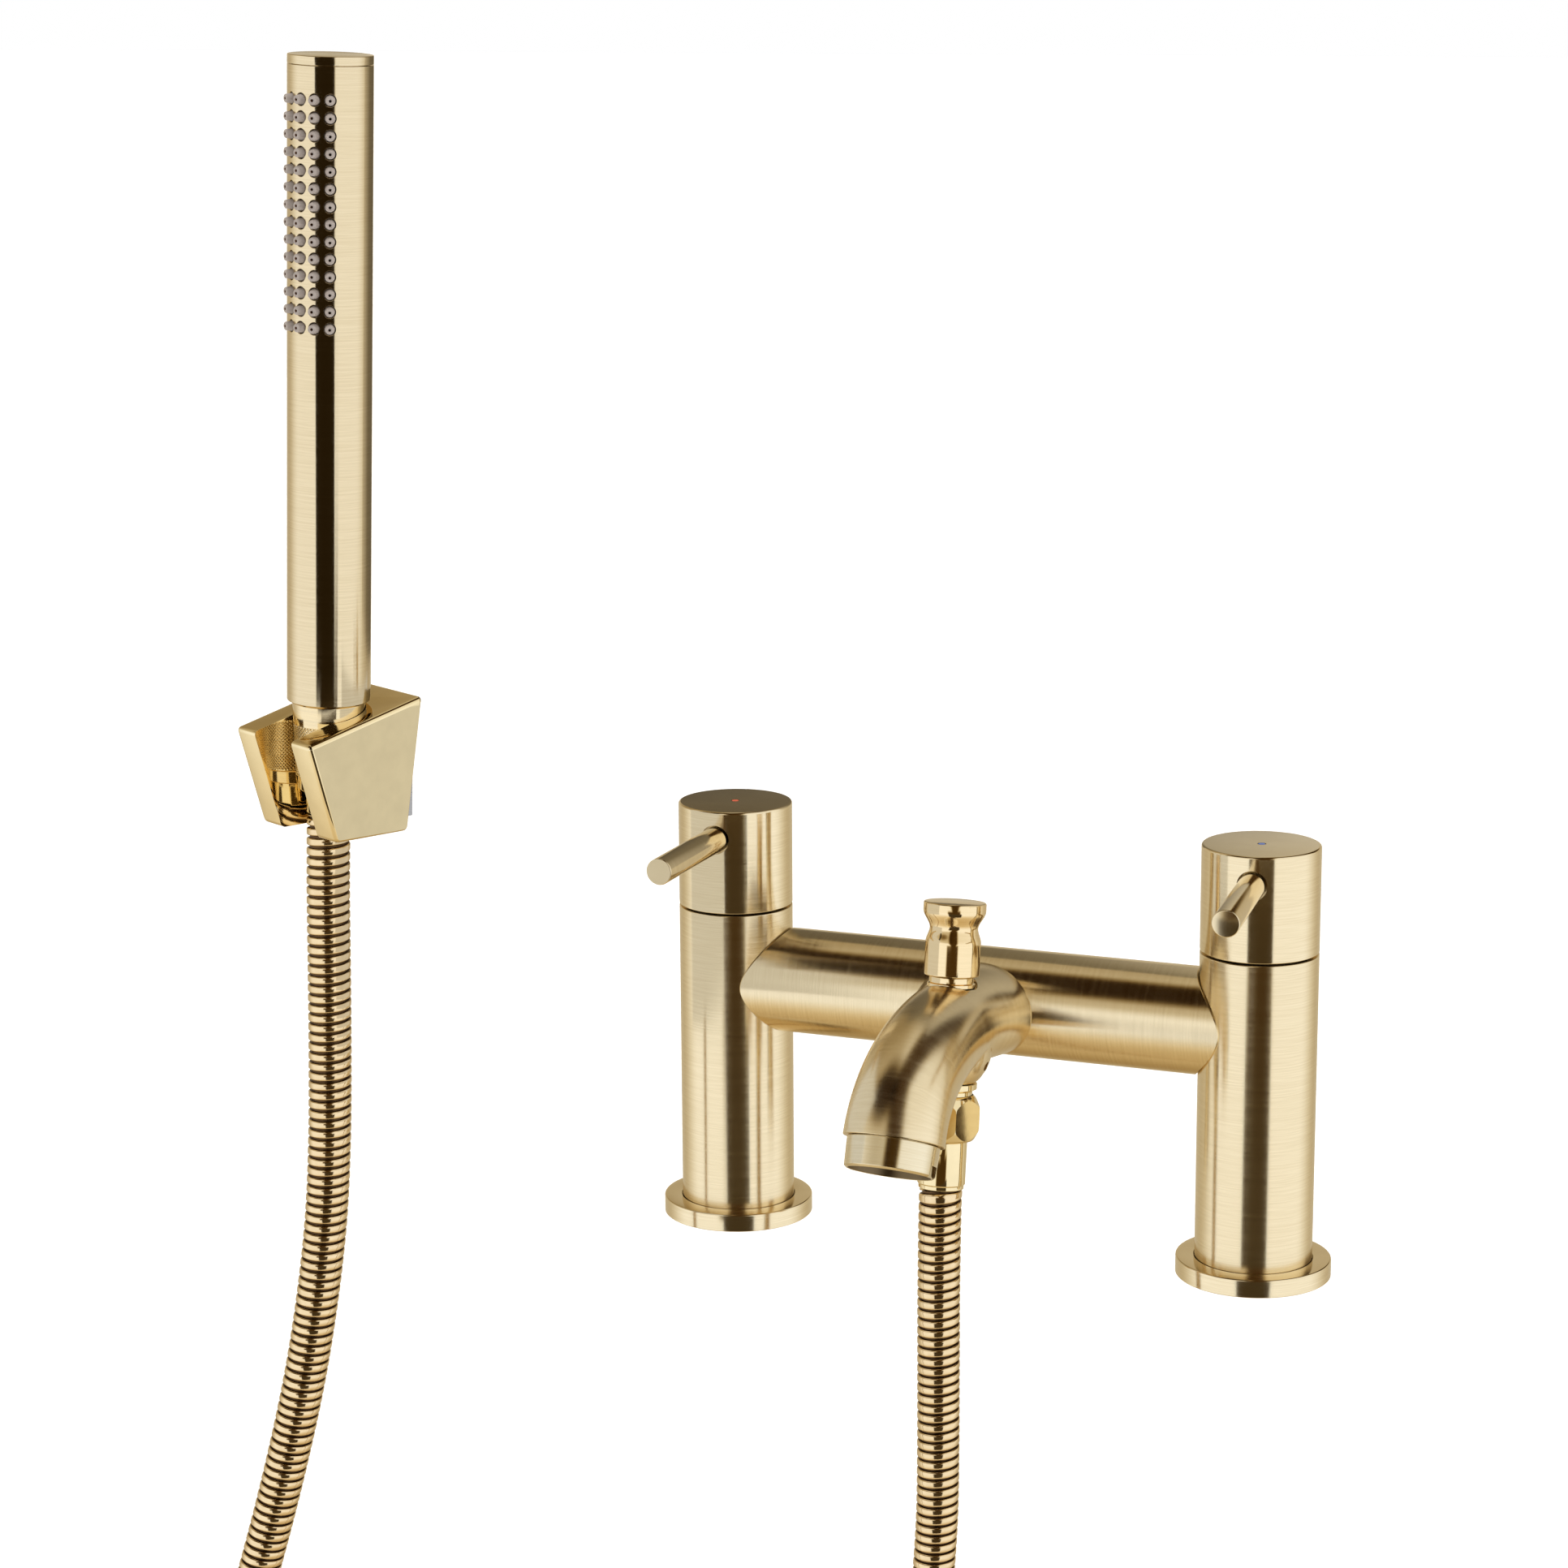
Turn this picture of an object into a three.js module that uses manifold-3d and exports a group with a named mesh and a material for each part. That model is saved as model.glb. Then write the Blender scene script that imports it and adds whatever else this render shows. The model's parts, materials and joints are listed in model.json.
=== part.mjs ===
// Bath shower mixer for a bath deck: two pillars with quarter-turn lever handles, a bridge,
// a curved spout with a pull-up diverter, and a stick handset on a metal hose in a fork bracket.
// Millimetres, +Z up, -Y towards the bather. The origin is on the deck, midway between the pillars.

import * as THREE from 'three';
import { mergeVertices } from 'three/addons/utils/BufferGeometryUtils.js';
import Module from 'manifold-3d';

const wasm = await Module();
wasm.setup();

// ---------------------------------------------------------------- driving dimensions

const GAP = 0.3;                      // clearance between pieces that touch
const PILLAR_CENTRES = 180;
const PILLAR_R = 18.9;
const PILLAR_TOP = 107.1;
const FLANGE_R = 25;
const FLANGE_HEIGHT = 5.9;
const HANDLE_BOTTOM = 107.8;
const HANDLE_TOP = 142.2;
const LEVER_R = 4.3;
const LEVER_HEIGHT = 132.8;
const BRIDGE_R = 17.4;
const BRIDGE_HEIGHT = 82.5;
const HOSE_R = 6.9;
const HANDSET_R = 13.05;
const HANDSET_LENGTH = 199.3;
const NOZZLE_ROWS = 14;
const NOZZLE_COLUMNS = 4;

// The spout's centreline, in the plane x = 0, runs from the bridge to the aerator.
const SPOUT_LINE = new THREE.CubicBezierCurve3(
  new THREE.Vector3(0, -13.1, 81.9),
  new THREE.Vector3(0, -60.5, 89.3),
  new THREE.Vector3(0, -84.4, 77.4),
  new THREE.Vector3(0, -90.9, 60.8),
);
const SPOUT_ROOT_R = 14.6;
const SPOUT_END_R = 15.9;
const SPOUT_END_LEAN = -21.4;         // degrees that the aerator's axis leans from upright

// The diverter's axis crosses the spout's centreline and leans back as it rises.
const DIVERTER_POINT = new THREE.Vector3(0, -40.6, 84.1);
const DIVERTER_LEAN = -8;             // degrees from upright
const DIVERTER_TRAVEL = 7.6;

// The handset group: its origin is the foot of the handset's body, on the socket's axis.
const HANDSET_POINT = new THREE.Vector3(-182.8, -107.4, 189.7);
const HANDSET_TURN = -20.6;           // degrees about the vertical, from the bridge's frame
const HANDSET_TILT = 2.9;             // degrees about the wall's normal

const BRACKET_HALF_WIDTH = 17.8;
const BRACKET_SIDE = [[-23.1, -8.5], [-11.8, -41.2], [18, -42.2], [23.8, 0.9]];  // depth, height
const WALL_FACE = 26.5;               // the wall, measured behind the socket's axis

// ---------------------------------------------------------------- materials

const FINISH = {
  satinBrass: { color: 0xb79a63, roughness: 0.32, metalness: 1 },
  polishedBrass: { color: 0xd9b25c, roughness: 0.12, metalness: 1 },
  hoseBrass: { color: 0xa98a55, roughness: 0.25, metalness: 1 },
  rawBrass: { color: 0xb08d4f, roughness: 0.45, metalness: 1 },
  steel: { color: 0xb8b8ba, roughness: 0.3, metalness: 1 },
  ceramic: { color: 0xeae6dd, roughness: 0.25, metalness: 0 },
  blackRubber: { color: 0x1c1c1d, roughness: 0.7, metalness: 0 },
  greyRubber: { color: 0x8e8680, roughness: 0.6, metalness: 0 },
  plastic: { color: 0xc9c9c5, roughness: 0.45, metalness: 0 },
  redIndex: { color: 0xb5482f, roughness: 0.4, metalness: 0 },
  blueIndex: { color: 0x3f5f9e, roughness: 0.4, metalness: 0 },
};

// ---------------------------------------------------------------- geometry helpers

const radians = THREE.MathUtils.degToRad;

// One closed indexed surface with shared corners and no collapsed triangles.
function weld(geometry) {
  const bare = geometry.clone();
  bare.deleteAttribute('normal');
  bare.deleteAttribute('uv');
  const merged = mergeVertices(bare, 1e-4);
  const corners = merged.index.array;
  const kept = [];
  for (let i = 0; i < corners.length; i += 3) {
    const [a, b, c] = [corners[i], corners[i + 1], corners[i + 2]];
    if (a !== b && b !== c && c !== a) kept.push(a, b, c);
  }
  merged.setIndex(kept);
  return merged;
}

function signedVolume(positions, triangles) {
  const point = (n) => new THREE.Vector3().fromArray(positions, 3 * n);
  let total = 0;
  for (let i = 0; i < triangles.length; i += 3) {
    const [a, b, c] = [point(triangles[i]), point(triangles[i + 1]), point(triangles[i + 2])];
    total += a.dot(b.cross(c));
  }
  return total;
}

function toSolid(geometry) {
  const welded = weld(geometry);
  const vertProperties = Float32Array.from(welded.attributes.position.array);
  const triVerts = Uint32Array.from(welded.index.array);
  if (signedVolume(vertProperties, triVerts) < 0) triVerts.reverse();
  return new wasm.Manifold(new wasm.Mesh({ numProp: 3, vertProperties, triVerts }));
}

function toGeometry(solid) {
  const mesh = solid.asOriginal().simplify(0.02).getMesh();
  const geometry = new THREE.BufferGeometry();
  geometry.setAttribute('position', new THREE.BufferAttribute(mesh.vertProperties, 3));
  geometry.setIndex(new THREE.BufferAttribute(mesh.triVerts, 1));
  geometry.computeVertexNormals();
  return geometry;
}

function join(...geometries) {
  return toGeometry(geometries.map(toSolid).reduce((whole, next) => whole.add(next)));
}

function cut(geometry, ...tools) {
  return toGeometry(tools.map(toSolid).reduce((rest, tool) => rest.subtract(tool), toSolid(geometry)));
}

function common(first, second) {
  return toGeometry(toSolid(first).intersect(toSolid(second)));
}

// A shape turned about the Z axis; profile points are [radius, height]. A profile that starts
// and ends on the axis makes a solid, and any other profile is closed into a ring.
function turned(profile, segments = 32) {
  const onAxis = profile[0][0] === 0 && profile[profile.length - 1][0] === 0;
  const points = (onAxis ? profile : [...profile, profile[0]]).map(([r, z]) => new THREE.Vector2(r, z));
  return toGeometry(toSolid(new THREE.LatheGeometry(points, segments).rotateX(Math.PI / 2)));
}

const ring = (outer, inner, low, high, segments = 18) =>
  turned([[inner, low], [outer, low], [outer, high], [inner, high]], segments);

const rod = (radius, low, high, segments = 18) =>
  turned([[0, low], [radius, low], [radius, high], [0, high]], segments);

const block = (width, depth, height, x = 0, y = 0, z = 0) =>
  new THREE.BoxGeometry(width, depth, height).translate(x, y, z);

const rodAlongX = (radius, low, high, segments) => rod(radius, low, high, segments).rotateY(Math.PI / 2);
const rodAlongY = (radius, low, high, segments) => rod(radius, low, high, segments).rotateX(-Math.PI / 2);

// A flat outline of [y, z] points given a width along X, centred on x = 0.
function slab(outline, width) {
  const shape = new THREE.Shape(outline.map(([y, z]) => new THREE.Vector2(y, z)));
  const body = new THREE.ExtrudeGeometry(shape, { depth: width, bevelEnabled: false });
  return body.translate(0, 0, -width / 2).applyMatrix4(new THREE.Matrix4().makeBasis(
    new THREE.Vector3(0, 1, 0), new THREE.Vector3(0, 0, 1), new THREE.Vector3(1, 0, 0)));
}

function hexagon(radius) {
  const corners = [0, 1, 2, 3, 4, 5].map((n) => radians(60 * n));
  return new THREE.Shape(corners.map((a) => new THREE.Vector2(radius * Math.cos(a), radius * Math.sin(a))));
}

const hexRod = (radius, low, high) =>
  new THREE.ExtrudeGeometry(hexagon(radius), { depth: high - low, bevelEnabled: false }).translate(0, 0, low);

// A round bar that follows a curve.
function bent(curve, radius, sides, steps) {
  const section = new THREE.Shape(new THREE.Path().absarc(0, 0, radius, 0, 2 * Math.PI).getPoints(sides).slice(0, sides));
  return new THREE.ExtrudeGeometry(section, { steps, extrudePath: curve, bevelEnabled: false });
}

// A closed skin over rings of equal point count, capped at both ends.
function loft(rings) {
  const count = rings[0].length;
  const points = rings.flat();
  const triangles = [];
  for (let k = 0; k + 1 < rings.length; k += 1) {
    for (let i = 0; i < count; i += 1) {
      const j = (i + 1) % count;
      const [a, b, c, d] = [k * count + i, k * count + j, (k + 1) * count + j, (k + 1) * count + i];
      triangles.push(a, b, c, a, c, d);
    }
  }
  for (const first of [0, (rings.length - 1) * count]) {
    const middle = points.length;
    points.push(points.slice(first, first + count).reduce((s, p) => s.add(p), new THREE.Vector3()).divideScalar(count));
    for (let i = 0; i < count; i += 1) {
      const pair = [first + i, first + (i + 1) % count];
      triangles.push(middle, ...(first === 0 ? pair.reverse() : pair));
    }
  }
  const geometry = new THREE.BufferGeometry().setFromPoints(points);
  geometry.setIndex(triangles);
  return geometry;
}

// ---------------------------------------------------------------- assembly helpers

const mixer = new THREE.Group();
const diverterGroup = new THREE.Group();
const aeratorGroup = new THREE.Group();
const handsetGroup = new THREE.Group();
diverterGroup.position.copy(DIVERTER_POINT);
diverterGroup.rotation.x = radians(DIVERTER_LEAN);
aeratorGroup.position.copy(SPOUT_LINE.getPoint(1));
aeratorGroup.rotation.x = radians(SPOUT_END_LEAN);
handsetGroup.position.copy(HANDSET_POINT);
handsetGroup.rotation.set(0, radians(HANDSET_TILT), radians(HANDSET_TURN), 'ZYX');
mixer.add(diverterGroup, aeratorGroup, handsetGroup);
[diverterGroup, aeratorGroup, handsetGroup].forEach((group) => group.updateMatrix());

function add(group, name, finish, geometry) {
  const mesh = new THREE.Mesh(geometry, new THREE.MeshStandardMaterial(FINISH[finish]));
  mesh.name = name;
  group.add(mesh);
  return mesh;
}

// ---------------------------------------------------------------- pillars and handles

const INLET_R = 10.45;                // threaded socket for the supply tail
const INLET_DEPTH = 16;
const FEED_R = 5.5;
const CHAMBER_R = 12;
const CHAMBER_LOW = 72;
const CHAMBER_HIGH = 96;
const CARTRIDGE_R = 10;
const UNION_R = 8.5;

function pillar(side) {
  const column = turned([
    [FEED_R, INLET_DEPTH], [PILLAR_R, INLET_DEPTH], [PILLAR_R, PILLAR_TOP - 0.4],
    [PILLAR_R - 0.4, PILLAR_TOP], [CARTRIDGE_R + GAP, PILLAR_TOP], [CARTRIDGE_R + GAP, CHAMBER_HIGH],
    [CHAMBER_R, CHAMBER_HIGH], [CHAMBER_R, CHAMBER_LOW], [FEED_R, CHAMBER_LOW],
  ], 36);
  const port = rodAlongX(UNION_R + GAP, CHAMBER_R - 2, PILLAR_R + 2).translate(0, 0, BRIDGE_HEIGHT);
  return cut(column, side > 0 ? port.rotateZ(Math.PI) : port);
}

// The pillar's threaded foot, brazed under it, which takes the supply tail.
function inletEnd() {
  return turned([
    [INLET_R, 0], [PILLAR_R, 0], [PILLAR_R, INLET_DEPTH - GAP], [INLET_R, INLET_DEPTH - GAP],
  ], 36);
}

function baseFlange() {
  const inner = PILLAR_R + GAP;
  return turned([
    [inner, 0], [20.4, 0], [20.4, 1.3], [24, 1.3], [24, 0], [FLANGE_R, 0],
    [FLANGE_R, FLANGE_HEIGHT - 0.5], [FLANGE_R - 0.5, FLANGE_HEIGHT], [inner, FLANGE_HEIGHT],
  ], 36);
}

function cartridgeBody() {
  const sleeve = turned([
    [8.8, 74.6], [CARTRIDGE_R, 74.6], [CARTRIDGE_R, 106], [7.5, 106], [7.5, 112],
    [LEVER_R, 112], [LEVER_R, 84.9], [8.8, 84.9],
  ], 20);
  return cut(sleeve, block(7, 3 * CARTRIDGE_R, 5.5, 0, 0, 81.3));
}

// A ceramic disc with two water ports on the line at the given angle.
function ceramicDisc(low, high, angle) {
  const ports = [0, 180].map((turn) => {
    const bearing = radians(angle + turn);
    return rod(2.4, low - 1, high + 1, 8).translate(5 * Math.cos(bearing), 5 * Math.sin(bearing), 0);
  });
  return cut(rod(8.4, low, high, 20), ...ports);
}

const spindle = () => turned([[0, 81.5], [8.4, 81.5], [8.4, 84.3], [4, 84.3], [4, 124.6], [0, 124.6]], 16);

const LEVER_HOLE_R = LEVER_R + 0.5;
const LEVER_STUD_R = 3;
const STUD_END = 14.5;                // how far the lever's full diameter stays off the pillar's axis
const GRUB_R = 2.4;
const GRUB_HEIGHT = 119;

function handleCap() {
  const cap = turned([
    [0, 125.2], [LEVER_R, 125.2], [LEVER_R, 114.5], [11.5, 114.5], [11.5, HANDLE_BOTTOM], [PILLAR_R, HANDLE_BOTTOM],
    [PILLAR_R, HANDLE_TOP - 0.8], [PILLAR_R - 0.25, HANDLE_TOP - 0.25], [PILLAR_R - 0.8, HANDLE_TOP],
    [1.4, HANDLE_TOP], [1.4, HANDLE_TOP - 0.8], [0, HANDLE_TOP - 0.8],
  ], 36);
  const mouth = rodAlongY(LEVER_HOLE_R, -PILLAR_R - 2, -STUD_END + GAP).translate(0, 0, LEVER_HEIGHT);
  const thread = rodAlongY(LEVER_STUD_R + GAP, -STUD_END, -3).translate(0, 0, LEVER_HEIGHT);
  const grubHole = rodAlongY(GRUB_R + GAP, LEVER_R - 1, PILLAR_R + 2, 12).translate(0, 0, GRUB_HEIGHT);
  return cut(cap, mouth, thread, grubHole);
}

function lever(length) {
  const along = turned([
    [0, 4], [LEVER_STUD_R, 4], [LEVER_STUD_R, STUD_END], [LEVER_R, STUD_END],
    [LEVER_R, length - 0.35], [LEVER_R - 0.35, length], [0, length],
  ], 20);
  return along.rotateX(Math.PI / 2).translate(0, 0, LEVER_HEIGHT);
}

// A socket-headed grub screw from low to high along Z, its hexagon socket at the high end.
function grubScrew(radius, low, high) {
  return cut(rod(radius, low, high, 12), hexRod(radius * 0.5, high - 2, high + 1));
}

function buildSide({ name, side, index, turn, length }) {
  const fixed = new THREE.Group();
  fixed.position.x = side * PILLAR_CENTRES / 2;
  const moving = new THREE.Group();
  moving.position.x = fixed.position.x;
  moving.rotation.z = radians(turn);
  mixer.add(fixed, moving);

  add(fixed, `${name}_pillar`, 'satinBrass', pillar(side));
  add(fixed, `${name}_inlet_end`, 'satinBrass', inletEnd());
  add(fixed, `${name}_base_flange`, 'satinBrass', baseFlange());
  add(fixed, `${name}_flange_seal`, 'blackRubber', ring(23.7, 21, 0.05, 1));
  add(fixed, `${name}_cartridge_seal`, 'blackRubber', ring(9.5, 5.9, 72.3, 74.3));
  add(fixed, `${name}_cartridge_body`, 'rawBrass', cartridgeBody());
  add(fixed, `${name}_fixed_disc`, 'ceramic', ceramicDisc(74.9, 77.9, 0));
  add(moving, `${name}_moving_disc`, 'ceramic', ceramicDisc(78.2, 81.2, 90));
  add(moving, `${name}_spindle`, 'rawBrass', spindle());
  add(moving, `${name}_handle`, 'satinBrass', handleCap());
  add(moving, `${name}_lever`, 'satinBrass', lever(length));
  const grub = grubScrew(GRUB_R, 4.6, PILLAR_R - 1.2).rotateX(-Math.PI / 2).translate(0, 0, GRUB_HEIGHT);
  add(moving, `${name}_handle_grub_screw`, 'steel', grub);
  add(moving, `${name}_index_dot`, index, rod(1.1, HANDLE_TOP - 0.5, HANDLE_TOP, 12));

  const union = ring(UNION_R, 6.8, 62, 77).rotateY(Math.PI / 2);
  add(mixer, `${name}_bridge_union`, 'rawBrass', side < 0 ? union.rotateZ(Math.PI) : union)
    .position.z = BRIDGE_HEIGHT;
}

buildSide({ name: 'hot', side: -1, index: 'redIndex', turn: 1.1, length: 66.3 });
buildSide({ name: 'cold', side: 1, index: 'blueIndex', turn: 6, length: 67.5 });

// ---------------------------------------------------------------- bridge and spout

const CONNECTOR_R = 9.2;

function bridge() {
  const reach = PILLAR_CENTRES / 2;
  const port = rodAlongY(CONNECTOR_R + GAP, -BRIDGE_R - 2, 0);
  const pipe = cut(
    rodAlongX(BRIDGE_R, 4 - reach, reach - 4, 36),
    rodAlongX(UNION_R + GAP, -reach, reach),
    port,
  ).translate(0, 0, BRIDGE_HEIGHT);
  const saddles = [-reach, reach].map((x) => rod(PILLAR_R + GAP, 0, PILLAR_TOP, 36).translate(x, 0, 0));
  return cut(pipe, ...saddles);
}

const FLARE_START = -44;              // y where the spout starts to widen towards the bridge
const FLARE_END = -12;                // and where it would be widest, inside the bridge
const FLARE_HALF_WIDTH = 20.3;
const FLARE_HALF_HEIGHT = 15.4;
const FLARE_RISE = 0.5;
const BOSS_R = 14;
const BOSS_CENTRE = -6.9;             // along the diverter's axis
const BOSS_FOOT = -17.3;
const SPOT_FACE = 12.6;
const SEAT_LOW = -8.8;
const UPPER_SEAL_TOP = -4.9;
const SEAT_HIGH = UPPER_SEAL_TOP + DIVERTER_TRAVEL + 0.1;
const SPOUT_SIDES = 32;

// The spout's section at one place on the centreline: an oval at the bridge, then a circle.
function spoutSection(centre, tangent, share, points) {
  const up = new THREE.Vector3(0, tangent.z, -tangent.y);
  const flare = THREE.MathUtils.smoothstep(centre.y, FLARE_START, FLARE_END);
  const radius = THREE.MathUtils.lerp(SPOUT_ROOT_R, SPOUT_END_R, share);
  const halfWidth = THREE.MathUtils.lerp(radius, FLARE_HALF_WIDTH, flare);
  const halfHeight = THREE.MathUtils.lerp(radius, FLARE_HALF_HEIGHT, flare);
  const middle = centre.clone().addScaledVector(up, FLARE_RISE * flare);
  return Array.from({ length: points }, (_, i) => {
    const angle = 2 * Math.PI * i / points;
    return middle.clone()
      .addScaledVector(up, halfHeight * Math.sin(angle))
      .add(new THREE.Vector3(halfWidth * Math.cos(angle), 0, 0));
  });
}

function spoutOutside() {
  const start = SPOUT_LINE.getPoint(0);
  const back = SPOUT_LINE.getTangent(0);
  const rings = [9, 4].map((step) => spoutSection(start.clone().addScaledVector(back, -step), back, 0, SPOUT_SIDES));
  const shares = [0, 0.05, 0.1, 0.15, 0.22, 0.31, 0.4, 0.49, 0.58, 0.67, 0.75, 0.83, 0.91, 1];
  for (const share of shares) {
    rings.push(spoutSection(SPOUT_LINE.getPoint(share), SPOUT_LINE.getTangent(share), share, SPOUT_SIDES));
  }
  return loft(rings);
}

// The stretch of the spout's centreline from one share of it to its end.
function spoutLineFrom(share) {
  const points = [0, 0.2, 0.4, 0.6, 0.8, 1].map((s) => SPOUT_LINE.getPoint(share + (1 - share) * s));
  return new THREE.CatmullRomCurve3(points);
}

function spout() {
  const boss = turned([
    [0, BOSS_FOOT], [9.4, BOSS_FOOT], [10.9, -15.7], [12.6, -13], [13.7, -9.9], [BOSS_R, BOSS_CENTRE],
    [BOSS_R, 1], [0, 1],
  ], 28).applyMatrix4(diverterGroup.matrix);
  const bores = [
    rod(8.4, SPOT_FACE, 20),
    rod(5.8, BOSS_FOOT - 2, SEAT_LOW + 1),
    rod(7.8, SEAT_LOW, SEAT_HIGH),
    rod(5.8, SEAT_HIGH - 1, SPOT_FACE + 1),
    rod(7.8, 5, 10),
  ].map((bore) => bore.applyMatrix4(diverterGroup.matrix));
  const inlet = rodAlongY(5.6, -41, -26).translate(0, 0, 81);
  const socket = rodAlongY(CONNECTOR_R + GAP, -27.5, 0).translate(0, 0, BRIDGE_HEIGHT);
  const crossover = rodAlongY(3.4, -58, -40).translate(0, 0, 91.4);
  const channel = bent(spoutLineFrom(0.34), 11, 20, 8);
  const aeratorSocket = rod(12.9, -3, 8.6, 24).applyMatrix4(aeratorGroup.matrix);
  const bridgeFace = rodAlongX(BRIDGE_R + GAP, -30, 30, 36).translate(0, 0, BRIDGE_HEIGHT);
  return cut(join(spoutOutside(), boss), bridgeFace, ...bores, inlet, socket, crossover, channel, aeratorSocket);
}

add(mixer, 'bridge', 'satinBrass', bridge());
add(mixer, 'spout', 'satinBrass', spout());
add(mixer, 'spout_connector', 'rawBrass', ring(CONNECTOR_R, 7.2, -27, -10).rotateX(-Math.PI / 2))
  .position.z = BRIDGE_HEIGHT;

// ---------------------------------------------------------------- aerator, on the spout's end

function aeratorHousing() {
  const body = turned([
    [12, -9.9], [13.2, -9.9], [14.2, -9], [14.5, -GAP], [12.6, -GAP], [12.6, 6.5],
    [10.6, 6.5], [10.6, -3.4], [9.6, -3.4], [9.6, -4.6], [12, -6],
  ], 28);
  const notches = [-1, 1].map((side) => block(3.2, 5.4, 3.8, side * 14.9, 0, -8.2));
  return cut(body, ...notches);
}

function aeratorInsert() {
  const holes = Array.from({ length: 12 }, (_, n) => {
    const angle = radians(30 * n);
    const reach = n % 2 ? 7.6 : 4.4;
    return rod(1, -4, 5, 6).translate(reach * Math.cos(angle), reach * Math.sin(angle), 0);
  });
  return cut(rod(10.3, -3.1, 4, 20), ...holes);
}

add(aeratorGroup, 'aerator_housing', 'satinBrass', aeratorHousing());
add(aeratorGroup, 'aerator_insert', 'plastic', aeratorInsert());
add(aeratorGroup, 'aerator_seal', 'blackRubber', ring(12.6, 9.8, 6.8, 8.3));

// ---------------------------------------------------------------- diverter, along its own axis

const KNOB_LOW = 16.5;
const KNOB_HIGH = 39.9;
const KNOB_WAIST = 31.6;
const ROD_R = 2;

function knob() {
  const waist = [26.8, 28.4, 30, KNOB_WAIST, 33.8, 35.6, 37.3].map((z) => {
    const reach = z < KNOB_WAIST ? (KNOB_WAIST - z) / 4.8 : (z - KNOB_WAIST) / 5.7;
    const swell = z < KNOB_WAIST ? 1.08 : 2.27;
    return [7.67 + swell * THREE.MathUtils.smoothstep(reach, 0, 1), z];
  });
  return turned([
    [0, KNOB_WAIST], [ROD_R + GAP, KNOB_WAIST], [ROD_R + GAP, KNOB_LOW], [8.35, KNOB_LOW],
    [8.75, KNOB_LOW + 0.4], ...waist, [9.94, KNOB_HIGH - 0.3], [9.64, KNOB_HIGH], [0, KNOB_HIGH],
  ], 28);
}

function collar() {
  return turned([
    [ROD_R + GAP, 10.3], [5.5, 10.3], [5.5, SPOT_FACE + GAP], [7.7, SPOT_FACE + GAP], [7.7, 14],
    [7.15, 14.3], [7.15, 16.2], [ROD_R + GAP, 16.2], [ROD_R + GAP, 15], [3.7, 15], [3.7, 13.5], [ROD_R + GAP, 13.5],
  ], 24);
}

function spring(low, high, radius, turns, wire) {
  const points = Array.from({ length: 8 * turns + 1 }, (_, n) => {
    const angle = radians(45 * n);
    const height = low + (high - low) * n / (8 * turns);
    return new THREE.Vector3(radius * Math.cos(angle), radius * Math.sin(angle), height);
  });
  return bent(new THREE.CatmullRomCurve3(points), wire, 5, 8 * turns);
}

add(diverterGroup, 'diverter_knob', 'polishedBrass', knob());
add(diverterGroup, 'diverter_rod', 'steel', rod(ROD_R, -8.4, KNOB_WAIST - GAP, 14));
add(diverterGroup, 'diverter_valve', 'rawBrass', ring(7.2, ROD_R + GAP, -7.2, -6.2));
add(diverterGroup, 'diverter_lower_seal', 'blackRubber', ring(7, ROD_R + GAP, -8.5, -7.5));
add(diverterGroup, 'diverter_upper_seal', 'blackRubber', ring(7.2, 5.3, -5.9, UPPER_SEAL_TOP));
add(diverterGroup, 'diverter_spring', 'steel', spring(-5.6, 9.7, 4.2, 6, 0.5));
add(diverterGroup, 'diverter_collar', 'polishedBrass', collar());
add(diverterGroup, 'diverter_o_ring', 'blackRubber', ring(3.4, ROD_R + 0.1, 13.8, 14.7, 14));

// ---------------------------------------------------------------- shower outlet and the hose's lower end

const NUT_TOP = -21.4;
const NUT_FOOT = -36;
const FERRULE_FOOT = -51.9;

function hoseNut() {
  const chamfers = turned([
    [0, NUT_TOP], [9, NUT_TOP], [11.3, NUT_TOP - 3.4], [11.3, NUT_FOOT + 2.2], [9.6, NUT_FOOT], [0, NUT_FOOT],
  ], 30);
  const inside = turned([
    [0, NUT_TOP + 1], [8.8, NUT_TOP + 1], [8.8, -34], [6.3, -34], [6.3, NUT_FOOT - 1], [0, NUT_FOOT - 1],
  ], 20);
  return cut(common(hexRod(11.3, NUT_FOOT, NUT_TOP).rotateZ(radians(8)), chamfers), inside);
}

add(diverterGroup, 'outlet_nipple', 'polishedBrass', turned([
  [4, -30], [8.5, -30], [8.5, -19.7], [9.85, -19.5], [9.85, BOSS_FOOT - GAP], [5.4, BOSS_FOOT - GAP],
  [5.4, -11.5], [4, -11.5],
], 24));
add(diverterGroup, 'hose_nut', 'polishedBrass', hoseNut());
add(diverterGroup, 'hose_nut_washer', 'blackRubber', ring(8.4, 4.3, -31.9, -30.3));
add(diverterGroup, 'hose_lower_insert', 'rawBrass', turned([
  [3.6, -40], [6, -40], [6, -33.7], [8.4, -33.7], [8.4, -32.2], [3.6, -32.2],
], 18));
add(diverterGroup, 'hose_lower_ferrule', 'polishedBrass', turned([
  [4.2, FERRULE_FOOT], [7.3, FERRULE_FOOT], [7.65, FERRULE_FOOT + 0.5], [7.65, NUT_FOOT - GAP],
  [6.3, NUT_FOOT - GAP], [6.3, -40.3], [4.2, -40.3],
], 24));

// ---------------------------------------------------------------- handset

const INLET_FOOT = -12;
const NUT_LOW = -28.5;
const UPPER_FERRULE_FOOT = -36;
const CAP_SEAM = 196.4;
const NOZZLE_LOW = 118;
const NOZZLE_PITCH = 5.26;
const NOZZLE_SPREAD = 21.3;           // degrees between columns
const NOZZLE_FACE = 17;               // degrees that the face is turned from the fork's mouth
const NOZZLE_TIP = 14.9;

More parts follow.
